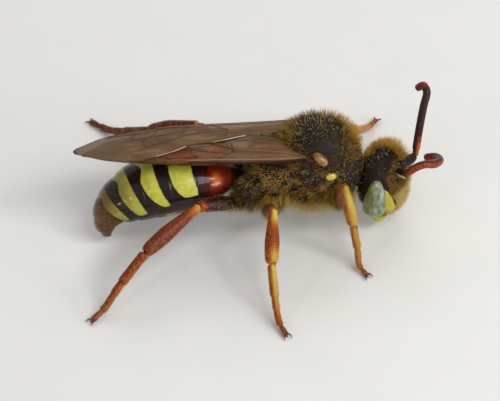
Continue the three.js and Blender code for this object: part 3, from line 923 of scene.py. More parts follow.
def thorax_style(roots, rng):
    """Short dark stubble with pale specks on the back, the specks being painted glints on hair tips, and a
    tan fringe round it; gold scales that lie flat on the black sides in patches; hardly any hair on the dark
    collar;
    long pale hair underneath."""
    x, y, z = roots["place"].T
    count = len(x)
    belly, top, sides, collar, rim, olive, gold, low = thorax_zones(roots["place"], roots["normal"])
    far = smooth(y, -0.8, 0.1)
    stubble = np.clip(top - rim, 0, 1)
    # pale hairs: painted glints, short wide specks standing for light on hair tips.
    pale = rng.random(count) < 0.24 * stubble + 0.14 * collar + 0.16 * sides + 0.16 * rim
    dark = rng.random(count) < sides * mixed(gold, 0.95, 0.34)
    length = 0.13 + rim * mixed(far, 0.12, 0.25 + 0.05 * smooth(x, 0.5, 1.2)) + 0.14 * low + 0.56 * belly
    length = length + 0.16 * olive * (1 - top)
    tone = mixed(rim, mixed(sides, 0.08, 0.6 - 0.1 * low - 0.14 * olive), 0.46 + 0.12 * smooth(x, 0, 1.4))
    tone = mixed(collar, mixed(belly, tone, 0.9), 0.25)
    tone = np.where(dark * (1 - belly) > 0.5, 0.06, tone)
    density = mixed(sides, mixed(rim, 0.32, 0.34 + 0.1 * far), mixed(gold, 0.4, 0.85))
    density = mixed(collar, mixed(belly, density, 0.66), 0.16)
    waist = (x < -1.75) & (np.hypot(y, z - 2.4) < 0.36)
    nape = (x > 1.7) & (np.hypot(y, z - 2.2) < 0.7)
    backward = np.tile([-1.0, 0, -0.15], (count, 1)) + 0.7 * sides[:, None] * rng.normal(0, 1, (count, 3))
    return {
        "density": density * ~waist * ~nape,
        "length": length * rng.uniform(0.6, 1.12, count) * np.where(pale, 1 - 0.3 * (1 - rim), 1),
        "width": (0.01 + 0.01 * sides + 0.013 * pale * (1 - rim)) * rng.uniform(0.8, 1.2, count),
        "lie": mixed(belly[:, None], backward, np.array([-0.4, 0, -0.6])),
        "lean": 0.04 + 0.42 * sides * (1 - low) + 0.1 * belly + rng.uniform(0, 0.1, count),
        "bend": 0.06 + 0.35 * sides + 0.1 * belly,
        "tone": np.where(pale, rng.uniform(0.76, 1.0, count), tone + rng.normal(0, 0.07, count)),
    }


def make_thorax():
    skin = thorax_skin()
    nodes = ("mesothorax", "pronotum", "scutellum", "propodeum")
    show("thorax_skin", skin.shape(), "cuticle", nodes)
    coat("thorax", [skin], thorax_style)
    for side, sign in SIDES.items():
        make_shoulder(side, sign)


def make_shoulder(side, sign):
    """The amber scale over the wing's root and the pale lobe in front of it."""

    def tilted(points):
        x, y, z = np.moveaxis(points, -1, 0)
        x, y = turned(x, y, TEGULA["turn"] * sign)
        y, z = turned(y, z, TEGULA["roll"] * sign)
        return np.stack([x, y, z], -1)

    sided = [1, sign, 1]
    centre = np.array(TEGULA["centre"])
    scale = egg(centre * sided, TEGULA["half"], reshape=tilted)
    show(f"tegula_scale_{side}", scale.shape(), "tegula", [f"tegula_{side}"])
    root = joined([egg((centre + offset) * sided, half, 12, 16).shape() for offset, half in WING_ROOT])
    show(f"wing_root_{side}", root, "vein")
    lobe = egg(np.array(PRONOTAL_LOBE["centre"]) * sided, PRONOTAL_LOBE["half"])
    show(f"shoulder_lobe_{side}", lobe.shape(), "lobe", [f"pronotal_lobe_{side}"])


# ---- Head ----

# Directions that the feelers' marks face: the near scape's pale stripe and the near flagellum's dark top.
SCAPE_MARK_WAY = np.array([-0.58, -0.62, -0.53])
UPPER_EDGE_WAY = np.array([0.0, 0.67, 0.74])


def orbit_edge(up):
    """How far from the middle of the face the yellow beside each eye begins."""
    return np.interp(up, (-0.9, -0.6, -0.37, 0.0, 0.2, 0.42), (0.52, 0.6, 0.62, 0.78, 0.89, 1.02))


def head_skin():
    """The head capsule in its own frame, then in the bee's: rounded vertex, bulging lower face."""
    parts = [ball(*part) for part in HEAD_MIDDLE]
    for sign in SIDES.values():
        parts += [ball(np.array(centre) * [1, sign, 1], half) for centre, half in HEAD_SIDE]
    field = blended(parts, HEAD_BLEND)
    points = wrapped(field, (0, 0, -0.05), rows=110, columns=130, reach=3, poles=1)
    x, y, z = np.moveaxis(points, -1, 0)
    skin = Skin(points)
    dents = sum(groove(np.hypot(y - middle, z - 0.38), 0.16) * (x > 0) * 0.05 for middle in (0.3, -0.3))
    arch = 0.5 - 0.55 * np.abs(y)
    dents += groove(z + 0.25 - arch * 0.25 + 0.25, 0.03) * (np.abs(y) < 0.5) * (x > 0.3) * 0.02
    points = points - skin.normals * dents[..., None]
    lower = -0.34 - z + 0.1 * np.cos(3 * y)
    orbit = np.minimum(np.abs(y) - orbit_edge(z), 0.42 - z)
    lower = np.where(np.abs(y) > 0.45, -1, lower)
    yellow = np.where(x > 0.05, np.maximum(lower, orbit), -1)
    yellow = np.maximum(yellow, np.minimum(-0.72 - z, x + 0.15))
    return Skin(from_head(points), yellow=yellow, up=z, out=x, side=y)


def head_zones(out, up, side):
    """How far each place of the head's frame is in each zone of the coat, from 0 to 1."""
    face = smooth(out, 0.2, 0.4)
    temple = smooth(side, 0.5, 0.8) * smooth(out, -0.1, 0.2)
    # The arc covers the left side only: its bright orange-gold hair is partly painted backlight on that side.
    arc = np.maximum(smooth(side, 0.15, 0.4), smooth(-out, 0.3, 0.55) * smooth(side, -0.4, 0.1))
    arc = arc * smooth(up, -0.5, 0.0) * (1 - 0.4 * face * (1 - temple))
    beard = face * smooth(-up, -0.05, 0.2)
    frons = face * (1 - beard)
    cheek = smooth(-up, 0.85, 1.1) * (1 - face)
    bare = smooth(np.abs(side) - orbit_edge(up), -0.03, 0.03) * face * (up < 0.42)
    return face, temple, arc, beard, frons, cheek, bare


def head_style(roots, rng):
    """Dark stubble with pale specks on the vertex and temples, the specks being painted glints on hair tips;
    long orange-gold hair over the left temple and the back of the head, whose brightness on the left side
    only is partly painted backlight, with a painted highlight high on the left temple; and tan hair that
    stands out of the face; the yellow beside the eyes is bare."""
    out, up, side = roots["out"], roots["up"], roots["side"]
    count = len(out)
    face, temple, arc, beard, frons, cheek, bare = head_zones(out, up, side)
    place = ((out - EYE["centre"][0]) / 0.56) ** 2 + ((up - EYE["centre"][2]) / 0.86) ** 2
    eye = (place < 1) & (np.abs(side) > 0.8)
    stubble = 1 - np.clip(arc + beard + 0.7 * frons + cheek, 0, 1)
    # pale hairs are painted glints: specks of light on the tips of the stubble.
    pale = rng.random(count) < 0.1 * stubble
    # painted highlight: hair made pale in a small patch high on the left temple, where light glances off it.
    painted_highlight = groove(np.hypot(out + 0.1, up - 0.72), 0.2) * smooth(side, 0.5, 0.8)
    tone = mixed(arc, mixed(frons, 0.1, 0.5), 0.67 + 0.26 * painted_highlight + 0.12 * temple)
    tone = mixed(cheek, mixed(beard, tone, 0.86), 0.62)
    length = 0.1 + arc * (0.28 + 0.1 * temple) + 0.02 * frons + 0.12 * beard + 0.14 * cheek
    density = mixed(np.maximum(arc, 0.7 * beard), mixed(frons, 0.3, 0.8), 1) * (1 - 0.97 * bare)
    return {
        "density": np.where(eye, 0, density),
        "length": length * rng.uniform(0.6, 1.1, count) * np.where(pale, 0.6, 1),
        "width": (0.01 + 0.003 * arc + 0.012 * pale) * rng.uniform(0.8, 1.2, count),
        "lie": np.stack([0.4 * face - 0.2 * arc, np.zeros(count), 0.5 - 0.8 * face], -1),
        "lean": 0.06 + 0.1 * face + rng.uniform(0, 0.2, count),
        "bend": 0.12 + 0.1 * face,
        "tone": tone + rng.normal(0, 0.06, count) + 0.85 * pale,
    }


def eye_skin(sign):
    """A tall blunt wedge, widest at its foot, that leans in with the side of the head."""
    latitude, longitude = globe(60, 64)
    up = np.cos(latitude) * np.ones_like(longitude)
    narrow = mixed((up + 1) / 2, EYE["foot"], EYE["top"])
    corner = mixed(smooth(up, -0.2, 0.8), 4.2, 2.6)
    swell = (1 - np.abs(up) ** corner) ** (1 / corner)
    x = swell * np.cos(longitude) * EYE["half"][0] * narrow + 0.09 * up
    y = swell * np.sin(longitude) * EYE["half"][1]
    z = up * EYE["half"][2]
    y, z = turned(y, z, EYE["lean"] * sign)
    points = np.stack([x, y, z], -1) + np.array(EYE["centre"]) * [1, sign, 1]
    return Skin(from_head(points), height=(up + 1) / 2, fore=(np.cos(longitude) * swell + 1) / 2)


def make_ocelli():
    for name, (forward, side) in OCELLI.items():
        height = 0.05 + 1.12 * math.sqrt(1 - (forward / 0.74) ** 2 - (side / 1.22) ** 2)
        place = from_head((forward, side, height - 0.01))
        dome = egg(place, (OCELLUS_RADIUS,) * 3, 12, 20)
        show(f"ocellus_dome_{name}", dome.shape(), "ocellus", [f"ocellus_{name}"])


def make_mouth():
    """The labrum and the two mandibles, nearly closed below it."""
    labrum = Skin(from_head(egg(LABRUM["centre"], LABRUM["half"]).points), yellow=0.2)
    show("labrum_plate", labrum.shape(), "head", ["labrum"])
    for side, sign in SIDES.items():
        knots = from_head(np.array(MANDIBLE["points"]) * [1, sign, 1])
        radii = sized(MANDIBLE["radius"], MANDIBLE["taper"])
        jaw = limb(Path(knots), radii, flat=0.8, yellow=lambda share, turn: 0.85 - share)
        show(f"jaw_{side}", jaw.shape(), "head", [f"mandible_{side}"])


def make_head():
    skin = head_skin()
    show("head_skin", skin.shape(), "head", ("head", "clypeus"))
    coat("head", [skin], head_style)
    for side, sign in SIDES.items():
        show(f"compound_eye_{side}", eye_skin(sign).shape(), "eye", [f"eye_{side}"])
        make_antenna(side, sign)
    make_ocelli()
    make_mouth()


def make_antenna(side, sign):
    """A scape, a small joint and eleven rings, each a little waisted."""
    root = from_head(np.array(SOCKET[side]) * [1, sign, 1])
    knots = FLAGELLA[side]
    elbow = np.array(knots[0])
    middle = (root + elbow) / 2 + np.array([0.05, 0, -0.02])
    stalk = limb(Path([root, middle, elbow]), SCAPE_RADII)
    reach = np.linspace(0, 1, len(stalk.points))[:, None]
    cream = smooth(stalk.normals @ SCAPE_MARK_WAY, 0.72, 0.8) * smooth(reach, 0.1, 0.2) * (side == "right")
    pieces = [Skin(stalk.points, tone=0.05, cream=cream).shape()]
    path = Path(knots)
    rings = FEELER["rings"]
    for ring in range(rings):
        start = max(0, (ring - 0.06) / rings)
        part = path.at(np.linspace(start, (ring + 1) / rings, 4))
        radii = sized(FEELER["radius"] if ring else FEELER["first"], FEELER["waist"])
        if ring == rings - 1:
            radii[-1] = (1, radii[-1][1] * FEELER["tip"])
        bead = limb(Path(part), radii, 14, 18, ends=0.03)
        pieces.append(Skin(bead.points, tone=feeler_tone(side, (ring + 0.5) / rings, bead.normals)).shape())
    nodes = (f"scape_{side}", f"flagellum_{side}")
    show(f"antenna_{side}", joined(pieces), "feeler", nodes)


def feeler_tone(side, place, normals):
    """The near feeler is orange-brown, darker on top; the far one dark with an orange tip, and near its root
    its forward-facing side is a painted orange highlight.
    """
    if side == "right":
        return 0.5 - 0.34 * smooth(normals @ UPPER_EDGE_WAY, 0.1, 0.8)
    # painted highlight: the far feeler's forward-facing side is lit orange near the root, and a touch along
    # its whole length.
    front = smooth(normals[..., 0], -0.5, 0.3)
    root = 1 - smooth(place, 0.14, 0.3)
    tip = smooth(place, 0.78, 0.9)
    return 0.1 + 0.52 * root * front + 0.3 * tip + 0.05 * front


# ---- Abdomen ----

RING_ROWS = 40
RING_COLUMNS = 180
# How far each ring reaches forward under the one before, and how its rear rim turns in, as (share of the
# abdomen's length past the rim, depth).
LAP = 0.03
RIM_TURN = ((0.002, 0.02), (0, 0.055), (-0.01, 0.1))
STALK = {
    "points": [(-1.9, 0, 2.4), (-2.25, 0, 2.36), (-2.6, 0, 2.33)],
    "radii": [(0, 0.2), (0.5, 0.19), (1, 0.24)],
}
SPINE = Path(ABDOMEN["spine"])


def girth(share):
    """How wide the abdomen is there, as a share of its widest."""
    stops, sizes = np.array(ABDOMEN["outline"], float).T
    fine = np.linspace(0, 1, 400)
    shape = np.interp(fine, stops / 100, sizes)
    kernel = np.ones(25) / 25
    shape = np.convolve(np.pad(shape, 12, "edge"), kernel, "valid")
    return np.interp(share, fine, shape)


# The yellow bands, by ring, as (front, rear, reach, fall, notch, end, gap). The front and rear edges are
# shares of the abdomen's length. They move forward by the reach and the fall towards the band's lower end,
# which is that much of the way round (0 on top, 0.5 underneath). The rear edge gives way on top by the
# notch, and the gap is how far from the top the band begins.
BANDS = {
    2: (0.303, 0.434, 0.042, 0.07, 0.0, 0.208, 0.03),
    3: (0.513, 0.608, 0.056, 0.1, 0.026, 0.236, 0),
    4: (0.662, 0.741, 0.032, 0.05, 0.02, 0.262, 0),
    5: (0.788, 0.835, 0.026, 0.02, 0.018, 0.278, 0),
}
# Where the back meets the belly, on the way round, and the belly's pale spot as (front, rear, start, end).
BELLY = 0.292
BELLY_SPOT = (0.43, 0.52, 0.3, 0.36)


def yellow_distance(ring, share, down, radius):
    """How far inside the ring's yellow marks a place is, in millimetres; below 0 outside them."""
    inside = np.full(share.shape, -1.0)
    if ring in BANDS:
        front, rear, reach, fall, notch, end, gap = BANDS[ring]
        lower = np.clip(down / end, 0, 1)
        front = front - reach * lower**3
        rear = rear - fall * lower**4 - notch * (1 - smooth(down, 0, 0.08))
        lengthwise = np.minimum(share - front, rear - share) * SPINE.length
        inside = rounded_least(lengthwise, (end - down) * 2 * np.pi * radius)
        if gap:
            inside = rounded_least(inside, (down - gap) * 2 * np.pi * radius)
    if ring == 3:
        front, rear, start, end = BELLY_SPOT
        lengthwise = np.minimum(share - front, rear - share) * SPINE.length
        around = np.minimum(down - start, end - down) * 2 * np.pi * radius
        inside = np.maximum(inside, np.minimum(rounded_least(lengthwise, around), 0.006))
    return inside


def rounded_least(first, second, softness=0.05):
    """The lesser of two distances, with the corner between them rounded."""
    return -softness * np.log(np.exp(-first / softness) + np.exp(-second / softness))


def redness(ring, share, down):
    """How red the cuticle is: the first ring with a painted orange glow of light in it, a spot on the second
    and the belly.
    """
    red = 0.26 * smooth(down, 0.22, 0.3) * (share < 0.6)
    if ring == 1:
        # painted glow: a bright orange spot on the first ring, for light shining in its red cuticle.
        glow = groove(down - 0.14, 0.045) * groove(share - 0.16, 0.03)
        ground = smooth(share, 0.03, 0.08) * (1 - 0.55 * smooth(share, 0.19, 0.22))
        ground = ground * (1 - smooth(share, 0.245, 0.26))
        red = ground * (0.6 * (1 - 0.5 * smooth(down, 0.17, 0.26)) + 0.45 * glow)
    if ring == 2:
        red = np.maximum(red, 0.85 * (1 - smooth(down, 0.03, 0.05)) * smooth(share, 0.285, 0.3))
    return red


def ring_skin(ring):
    """One ring: a plate whose rear rim laps over the next ring, stepped where back and belly meet."""
    ends = [0.0, *ABDOMEN["ends"]]
    start, end = ends[ring - 1], ends[ring]
    lap = 0.0 if ring == 1 else LAP
    rows = [*np.linspace(start - lap, end, RING_ROWS), *[end + past for past, _ in RIM_TURN]]
    insets = np.array([0] * RING_ROWS + [depth for _, depth in RIM_TURN])
    share = np.clip(rows, 0, 1)[:, None] * np.ones((1, RING_COLUMNS))
    turn = (np.arange(RING_COLUMNS) / RING_COLUMNS)[None] * np.ones((len(rows), 1))
    local = (share - start) / (end - start)
    radius = ABDOMEN["half_width"] * girth(share)
    under_next = smooth(-local, -0.02, 0.06) * 0.06
    swell = 0.02 * np.sin(np.pi * np.clip(local, 0, 1)) - 0.02 * smooth(local, 0.72, 0.8)
    rim = 0.018 * smooth(local, 0.9, 1.0)
    down = np.minimum(turn, 1 - turn)
    belly = 0.04 * smooth(down, BELLY, BELLY + 0.012)
    radius = np.maximum(radius + swell + rim - under_next - belly - insets[:, None], 0.02)
    sideways = radius * np.sin(2 * np.pi * turn)
    upwards = radius * ABDOMEN["flat"] * np.cos(2 * np.pi * turn)
    return Skin(
        SPINE.place(share, sideways, upwards), (0, start, 1, end - start),
        yellow=yellow_distance(ring, share, down, radius), red=redness(ring, share, down),
        brown=smooth(share, 0.8, 0.88) * 0.95, ring=float(ring), down=down, local=local, share=share,
    )


def abdomen_style(roots, rng):
    """Hardly any hair on the first rings, and a short golden-brown fringe that grows to the tip."""
    count = len(roots["ring"])
    ring = roots["ring"]
    late = smooth(ring, 3.5, 6.5)
    rim = smooth(roots["local"], 0.6, 0.95)
    return {
        "density": np.clip(0.12 + 0.6 * late + 0.1 * rim, 0, 1) * (ring > 1.5),
        "length": (0.07 + 0.12 * late) * rng.uniform(0.6, 1.1, count),
        "width": 0.011 * rng.uniform(0.8, 1.2, count),
        "lie": np.tile([-1.0, -0.1, -0.25], (count, 1)),
        "lean": 0.55 + rng.uniform(0, 0.15, count),
        "bend": np.full(count, 0.25),
        "tone": 0.4 + 0.1 * late + rng.normal(0, 0.08, count),
    }


def make_abdomen():
    rings = []
    for ring in range(1, 8):
        skin = ring_skin(ring)
        rings.append(skin)
        plate = skin.shape()
        if ring == 1:
            stalk = limb(Path(STALK["points"]), STALK["radii"], yellow=lambda share, turn: share - 2)
            plate = joined([plate, stalk.shape()])
        show(f"abdomen_ring_{ring}", plate, "abdomen", [f"abdomen_segment_{ring}"])
    coat("abdomen", rings, abdomen_style)


# ---- Wings ----


class Wing:
    """A folded wing: a thin sheet between its leading and trailing edges, read by how far out along it
    (0 root, 1 tip) and how far back across it (0 leading edge, 1 trailing edge) a place is."""

    def __init__(self, lead, trail, layer):
        self.lead = Path([(*point, 0) for point in lead])
        self.trail = Path([(*point, 0) for point in trail])
        self.layer = layer

    def place(self, out, back):
        out, back = np.broadcast_arrays(np.asarray(out, float), np.asarray(back, float))
        flat = mixed(back[..., None], self.lead.at(out), self.trail.at(out))
        x, y = flat[..., 0], flat[..., 1]
        x = x - WING["tip_round"] * smooth(out, 0.82, 1.0) * (1 - (2 * back - 1) ** 2)
        pleat = WING["pleat_depth"] * np.sin(2 * np.pi * WING["pleats"] * back) * smooth(out, 0.02, 0.2)
        pleat = pleat * (1 - 0.75 * smooth(out, 0.4, 0.8))
        lift = self.layer * smooth(-x, 0, 0.6)
        z = WING["ridge"] + WING["fall"] * x + lift + pleat - WING["arch"] * (y - WING["middle"]) ** 2
        return np.stack([x, y, z], -1)

    def membrane(self):
        """Top and underside as one closed skin: the columns cross the top and come back below."""
        across = WING["columns"]
        out = np.linspace(0.0, 1.0, WING["rows"])[:, None]
        back = np.concatenate([np.linspace(0, 1, across), np.linspace(1, 0, across)])[None]
        points = self.place(out, back)
        thick = WING["thickness"] / 2
        above = np.concatenate([np.full(across, thick), np.full(across, -thick)])
        points[..., 2] += above[None]
        edge = smooth(out * np.ones_like(back), 0.72, 0.97)
        x, y = points[..., 0], points[..., 1]
        # Painted glow: two orange patches on the near wing, for light coming through it from the red rings
        # beneath.
        warm = groove(np.hypot((x + 4.6) / 0.55, (y + 0.62) / 0.26), 1.0)
        warm = warm + 0.7 * groove(np.hypot((x + 3.3) / 0.45, (y + 0.55) / 0.2), 1.0)
        return Skin(points, edge=edge, warm=warm)

    def vein(self, stops, radius, tone):
        """A tube along places of the wing, half sunk in the sheet."""
        out, back = np.array(stops, float).T
        dense = np.linspace(0, len(stops) - 1, 6 * len(stops))
        line = self.place(np.interp(dense, range(len(stops)), out), np.interp(dense, range(len(stops)), back))
        line[:, 2] += 0.008
        sizes = [(0, radius), (1, radius * 0.7)]
        return limb(Path(line, (0, 0, 1)), sizes, 4 * len(stops) + 6, 8, ends=0.04,
                    tone=lambda share, turn: tone + 0 * share).shape()


# Each vein's places on the wing, as (how far out, how far back), its radius and its tone.
FORE_VEINS = [
    ([(0, 0.03), (0.2, 0.02), (0.4, 0.02), (0.56, 0.02)], 0.05, 0.0),
    ([(0, 0.12), (0.2, 0.1), (0.42, 0.09), (0.58, 0.06)], 0.036, 0.8),
    ([(0.55, 0.05), (0.59, 0.08), (0.65, 0.05)], 0.07, 0.43),
    ([(0.64, 0.02), (0.76, 0.02), (0.86, 0.03)], 0.025, 0.2),
    ([(0.6, 0.08), (0.7, 0.17), (0.8, 0.16), (0.87, 0.04)], 0.02, 0.2),
    ([(0, 0.42), (0.15, 0.4), (0.33, 0.42)], 0.026, 0.7),
    ([(0.33, 0.42), (0.37, 0.26), (0.42, 0.1)], 0.022, 0.25),
    ([(0.36, 0.3), (0.5, 0.36), (0.62, 0.4), (0.8, 0.42)], 0.02, 0.3),
    ([(0.33, 0.42), (0.46, 0.58), (0.62, 0.66), (0.74, 0.74)], 0.022, 0.3),
    ([(0, 0.72), (0.2, 0.76), (0.4, 0.83), (0.6, 0.87)], 0.024, 0.6),
    ([(0.34, 0.44), (0.345, 0.64), (0.35, 0.81)], 0.02, 0.2),
    ([(0.5, 0.14), (0.53, 0.24), (0.53, 0.36)], 0.02, 0.2),
    ([(0.64, 0.13), (0.655, 0.26), (0.65, 0.4)], 0.02, 0.2),
    ([(0.74, 0.17), (0.76, 0.3), (0.745, 0.41)], 0.02, 0.2),
    ([(0.5, 0.14), (0.58, 0.12), (0.66, 0.13)], 0.02, 0.2),
    ([(0.52, 0.37), (0.54, 0.48), (0.55, 0.62)], 0.02, 0.2),
    ([(0.69, 0.4), (0.71, 0.55), (0.7, 0.7)], 0.02, 0.2),
    # Four thin tubes along the trailing edge: those of tone 1.0 and 0.95 are painted glints, light glancing
    # off the edge.
    ([(0.25, 0.99), (0.33, 0.995), (0.4, 0.99)], 0.012, 1.0),
    ([(0.4, 0.99), (0.46, 0.995), (0.52, 0.995)], 0.012, 0.3),
    ([(0.52, 0.995), (0.58, 0.995), (0.66, 0.99)], 0.012, 0.95),
    ([(0.66, 0.99), (0.76, 0.99), (0.88, 0.98)], 0.012, 0.3),
]
HIND_VEINS = [
    ([(0, 0.04), (0.3, 0.03), (0.6, 0.03), (0.8, 0.04)], 0.03, 0.2),
    ([(0, 0.4), (0.3, 0.38), (0.5, 0.4), (0.75, 0.45)], 0.02, 0.5),
    ([(0.4, 0.08), (0.45, 0.22), (0.48, 0.4)], 0.016, 0.4),
    ([(0, 0.75), (0.3, 0.7), (0.55, 0.72)], 0.018, 0.6),
]


def make_wings():
    for name, plan in WINGS.items():
        wing = Wing(**plan)
        show(f"{name}_membrane", wing.membrane().shape(), "membrane", [name])
        veins = FORE_VEINS if name.startswith("fore") else HIND_VEINS
        tubes = joined([wing.vein(*vein) for vein in veins])
        show(f"{name}_veins", tubes, "vein")


# ---- Legs ----

LEG_SIZES = {
    "fore": {"hip": 0.34, "femur": 0.27, "tibia": (0.15, 0.23), "foot": 0.15},
    "mid": {"hip": 0.34, "femur": 0.28, "tibia": (0.17, 0.28), "foot": 0.165},
    "hind": {"hip": 0.5, "femur": 0.3, "tibia": (0.18, 0.3), "foot": 0.185},
}
# Tones along each part of a leg, as (share, tone); the limb finish says what a tone looks like.
LEG_TONES = {
    "fore": {
        "hip": [(0, 0.06), (1, 0.2)],
        "femur": [(0, 0.3), (0.5, 0.38), (1, 0.62)],
        "tibia": [(0, 0.86), (0.3, 0.94), (1, 0.88)],
        "foot": [(0, 0.86), (0.5, 0.78), (1, 0.5)],
        "behind": 0.48,
    },
    "mid": {
        "hip": [(0, 0.06), (1, 0.1)],
        "femur": [(0, 0.12), (0.6, 0.2), (0.85, 0.32), (1, 0.6)],
        "tibia": [(0, 1.0), (0.22, 0.92), (0.4, 0.54), (0.66, 0.5), (0.84, 0.88), (1, 0.84)],
        "foot": [(0, 0.95), (0.45, 0.88), (0.6, 0.78), (1, 0.4)],
        "behind": 0.42,
    },
    "hind": {
        "hip": [(0, 0.02), (1, 0.02)],
        "femur": [(0, 0.0), (0.5, 0.02), (0.68, 0.1), (0.82, 0.24), (0.9, 0.54), (1, 0.7)],
        "tibia": [(0, 0.98), (0.1, 0.7), (0.25, 0.42), (0.8, 0.36), (1, 0.46)],
        "foot": [(0, 0.5), (0.5, 0.58), (1, 0.46)],
        "behind": 0.32,
    },
}
FOOT_SHARES = (0.0, 0.46, 0.62, 0.75, 0.85, 1.0)
# How each part of a leg swells and tapers, as (share of its length, share of its size).
HIP_TAPER = ((0, 1), (0.6, 0.9), (1, 0.6))
THIGH_TAPER = ((0, 0.5), (0.12, 0.72), (0.4, 1), (0.75, 0.85), (1, 0.68))
FOOT_TAPER = ((0, 0.92), (0.3, 0.96), (0.85, 1), (1, 0.96))
LAST_FOOT_TAPER = ((0, 0.6), (0.6, 0.8), (1, 0.9))
# The middle line of a claw, as (ahead, outward, up) from its root.
CLAW_HOOK = ((0, 0, 0), (0.1, 0.07, 0.02), (0.2, 0.1, -0.03), (0.22, 0.09, -0.1))


def painted(skin, pair, side, part):
    """The part with its tones: they change along it, it is redder behind than in front, and the left legs
    are painted a little darker, as shade on the far side."""
    stops, tones = np.array(LEG_TONES[pair][part], float).T
    plain = np.interp(skin.marks["share"], stops, tones)
    behind = smooth(-skin.normals[..., 0], -0.1, 0.5)
    tone = mixed(behind * 0.8, plain, np.minimum(plain, LEG_TONES[pair]["behind"]))
    # Painted shade: the left legs' tones are darkened to 0.8.
    return Skin(skin.points, skin.tile, tone=tone * (0.8 if side == "left" else 1.0))


def leg_parts(sizes, knots):
    """The parts of a leg, each as its name, its path, its radii, the stretch of the leg's unwrap that it
    takes, the stretch of its tones that it shows and the rest of its shape."""
    root, trochanter, knee, ankle = knots[:4]
    narrow, wide = sizes["tibia"]
    radii = sized(sizes["hip"], HIP_TAPER)
    yield "hip", Path([root, (root + trochanter) / 2, trochanter]), radii, (0, 0.1), (0, 1), {}
    bow = (trochanter + knee) / 2 + [0, 0, 0.06]
    radii = sized(sizes["femur"], THIGH_TAPER)
    yield "femur", Path([trochanter, bow, knee]), radii, (0.1, 0.4), (0, 1), {"flat": 0.9, "ends": 0.08}
    shin_top = knee + unit(knee - ankle) * 0.07
    shin_middle = (knee + ankle) / 2 + [0, 0, 0.03]
    radii = [(0, narrow * 0.9), (0.12, narrow), (0.62, wide), (0.88, wide * 0.9), (1, wide * 0.7)]
    yield "tibia", Path([shin_top, shin_middle, ankle]), radii, (0.4, 0.7), (0, 1), {"ends": 0.05}
    whole = Path(knots[3:])
    for start, end in zip(FOOT_SHARES[:-1], FOOT_SHARES[1:]):
        line = Path(whole.at(np.linspace(max(0, start - 0.02), end, 4)))
        thick = sizes["foot"] * (1 - 0.26 * min(1, start * 1.6))
        radii = sized(thick, LAST_FOOT_TAPER if end == 1 else FOOT_TAPER)
        unwrapped = (0.7 + 0.3 * start, 0.7 + 0.3 * end)
        yield "foot", line, radii, unwrapped, (start, end), {"rows": 18, "ends": 0.07}


def make_leg(name, knots, left, width):
    """One leg, its claws and spurs; its unwrap is a strip of that left edge and width."""
    pair, side = name.split("_")
    knots = [np.array(knot, float) for knot in knots]
    skins = []
    for part, path, radii, (start, end), reach, more in leg_parts(LEG_SIZES[pair], knots):
        tile = (left, start, width, end - start)
        skin = limb(path, radii, tile=tile, share=lambda share, turn: mixed(share, *reach), **more)
        skins.append(painted(skin, pair, side, part))
    nodes = [f"{part}_{name}" for part in ("hip", "femur", "tibia", "tarsus")]
    show(f"leg_{name}", joined([skin.shape() for skin in skins]), "leg", nodes)
    make_claws(name, Path(knots[3:]))
    make_spurs(name, Path(knots[2:4]))
    return skins


def make_claws(name, foot):
    """Two hooked claws and the pad between them, at the end of the foot."""
    tip = foot.at(np.array([1.0]))[0]
    ahead = foot.tangent(np.array([1.0]))[0] * [1, 1, 0]
    ahead = ahead / np.linalg.norm(ahead)
    across = np.array([-ahead[1], ahead[0], 0])
    pieces = []
    for way in (-1, 1):
        start = tip + across * way * 0.04
        knots = [start + ahead * out + across * way * apart + [0, 0, up] for out, apart, up in CLAW_HOOK]
        pieces.append(limb(Path(knots), [(0, 0.04), (0.5, 0.03), (1, 0.008)], 14, 8).shape())
    pad = egg(tip + ahead * 0.06 + [0, 0, -0.03], (0.07, 0.07, 0.07), 10, 14)
    pieces.append(pad.shape())
    show(f"claws_{name}", joined(pieces), "claw")


def make_spurs(name, shin):
    """The short spurs at the lower end of the shin."""
    pieces = []
    for way in (-1, 1):
        start = shin.place(np.array([0.95]), np.array([0.12 * way]), np.array([-0.12]))[0]
        ahead = shin.tangent(np.array([0.95]))[0]
        end = start + ahead * 0.34 + np.array([0, 0, -0.1])
        knots = [start, (start + end) / 2 + [0, 0, -0.02], end]
        pieces.append(limb(Path(knots), [(0, 0.028), (1, 0.006)], 10, 6).shape())
    show(f"spurs_{name}", joined(pieces), "claw")


def leg_style(roots, rng):
    """Very short pale hair along the leg, longer hair near the body, and the darkest on the hind hips."""
    count = len(roots["tone"])
    x, y, z = roots["place"].T
    near = smooth(1.8 - np.abs(y), 0, 0.7) * smooth(2.6 - z, 0, 0.4)
    hip = near * smooth(-1.6 - x, 0, 0.3) * smooth(x + 3.0, 0, 0.3)
    sole = smooth(z, 0.05, 0.3)
    downward = np.stack([-0.4 * hip, np.sign(y) * (0.7 - 0.6 * hip), -0.8 + 0.9 * hip], -1)
    outer = smooth(-y, -0.2, 0.2)
    return {
        "density": np.maximum(0.2 + 0.3 * outer, near),
        "length": (0.1 + 0.2 * near + 0.14 * hip) * (0.3 + 0.7 * sole) * rng.uniform(0.6, 1.2, count),
        "width": (0.011 + 0.004 * hip) * rng.uniform(0.8, 1.2, count),
        "lie": downward,
        "lean": 0.42 - 0.2 * hip + rng.uniform(0, 0.15, count),
        "bend": np.full(count, 0.2),
        "tone": mixed(near, 0.66 + 0.2 * roots["tone"], 0.42 - 0.14 * hip) + rng.normal(0, 0.1, count),
    }


def make_legs():
    for index, (name, knots) in enumerate(LEGS.items()):
        skins = make_leg(name, knots, index / 6, 1 / 6.2)
        coat("leg", skins, leg_style, f"leg_{name}", index)


# ---- Floor, light and camera ----


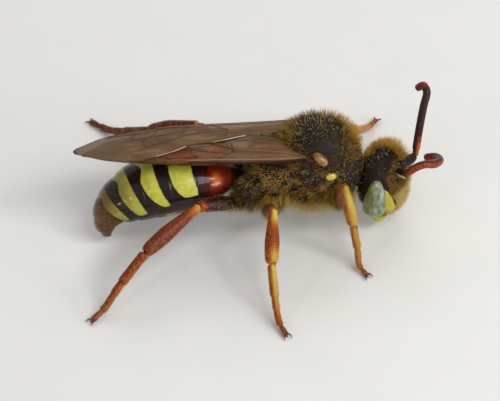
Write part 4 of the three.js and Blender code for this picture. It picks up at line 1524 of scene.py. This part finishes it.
def make_floor():
    """A plain pale floor, far larger than the bee."""
    corners = [(x * FLOOR_HALF * MM, y * FLOOR_HALF * MM, 0) for x, y in ((-1, -1), (1, -1), (1, 1), (-1, 1))]
    mesh = bpy.data.meshes.new("floor")
    mesh.from_pydata(corners, [], [(0, 1, 2, 3)])
    finish = Finish("floor_paper", {"Roughness": 0.85, "Specular IOR Level": 0.1})
    finish.colour(finish.blend(finish.noise(0.4), ink(226, 226, 222), ink(232, 231, 227)))
    mesh.materials.append(finish.material)
    floor = placed("floor", mesh)
    floor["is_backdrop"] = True


def make_lamp(name, place, size, power):
    """A soft square lamp that looks at the bee."""
    lamp = bpy.data.lights.new(name, "AREA")
    lamp.energy = power
    lamp.size = size * MM
    thing = placed(name, lamp)
    thing.location = (np.array(place) + ORIGIN) * MM
    back = unit(np.array(place, float) - np.array(LAMP_TARGET))
    thing.rotation_euler = (math.acos(back[2]), 0, math.atan2(back[0], -back[1]))


def make_light():
    world = bpy.data.worlds.new("studio")
    world.use_nodes = True
    sky = world.node_tree.nodes["Background"]
    sky.inputs["Color"].default_value = (1, 1, 1, 1)
    sky.inputs["Strength"].default_value = SKY_STRENGTH
    bpy.context.scene.world = world
    for name, plan in LAMPS.items():
        make_lamp(name, *plan)


def make_camera():
    azimuth, elevation = CAMERA["azimuth"], CAMERA["elevation"]
    level = math.cos(elevation)
    back = np.array([math.sin(azimuth) * level, -math.cos(azimuth) * level, math.sin(elevation)])
    lens = bpy.data.cameras.new("camera")
    lens.lens = CAMERA["lens"]
    lens.clip_start = MM
    camera = placed("camera", lens)
    camera.location = (np.array(CAMERA["middle"]) + ORIGIN + back * CAMERA["distance"]) * MM
    camera.rotation_euler = (math.pi / 2 - elevation, 0, azimuth)
    bpy.context.scene.camera = camera


def write_sizes():
    """Both boxes as plain lists; nothing is written or returned."""
    boxes = {"cad": CAD_BOX, "visual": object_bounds()}
    plain = {name: [list(corner) for corner in box] for name, box in boxes.items()}


bpy.context.scene.view_settings.view_transform = "Standard"
make_camera()
make_light()
make_floor()
make_thorax()
make_head()
make_abdomen()
make_wings()
make_legs()
write_sizes()
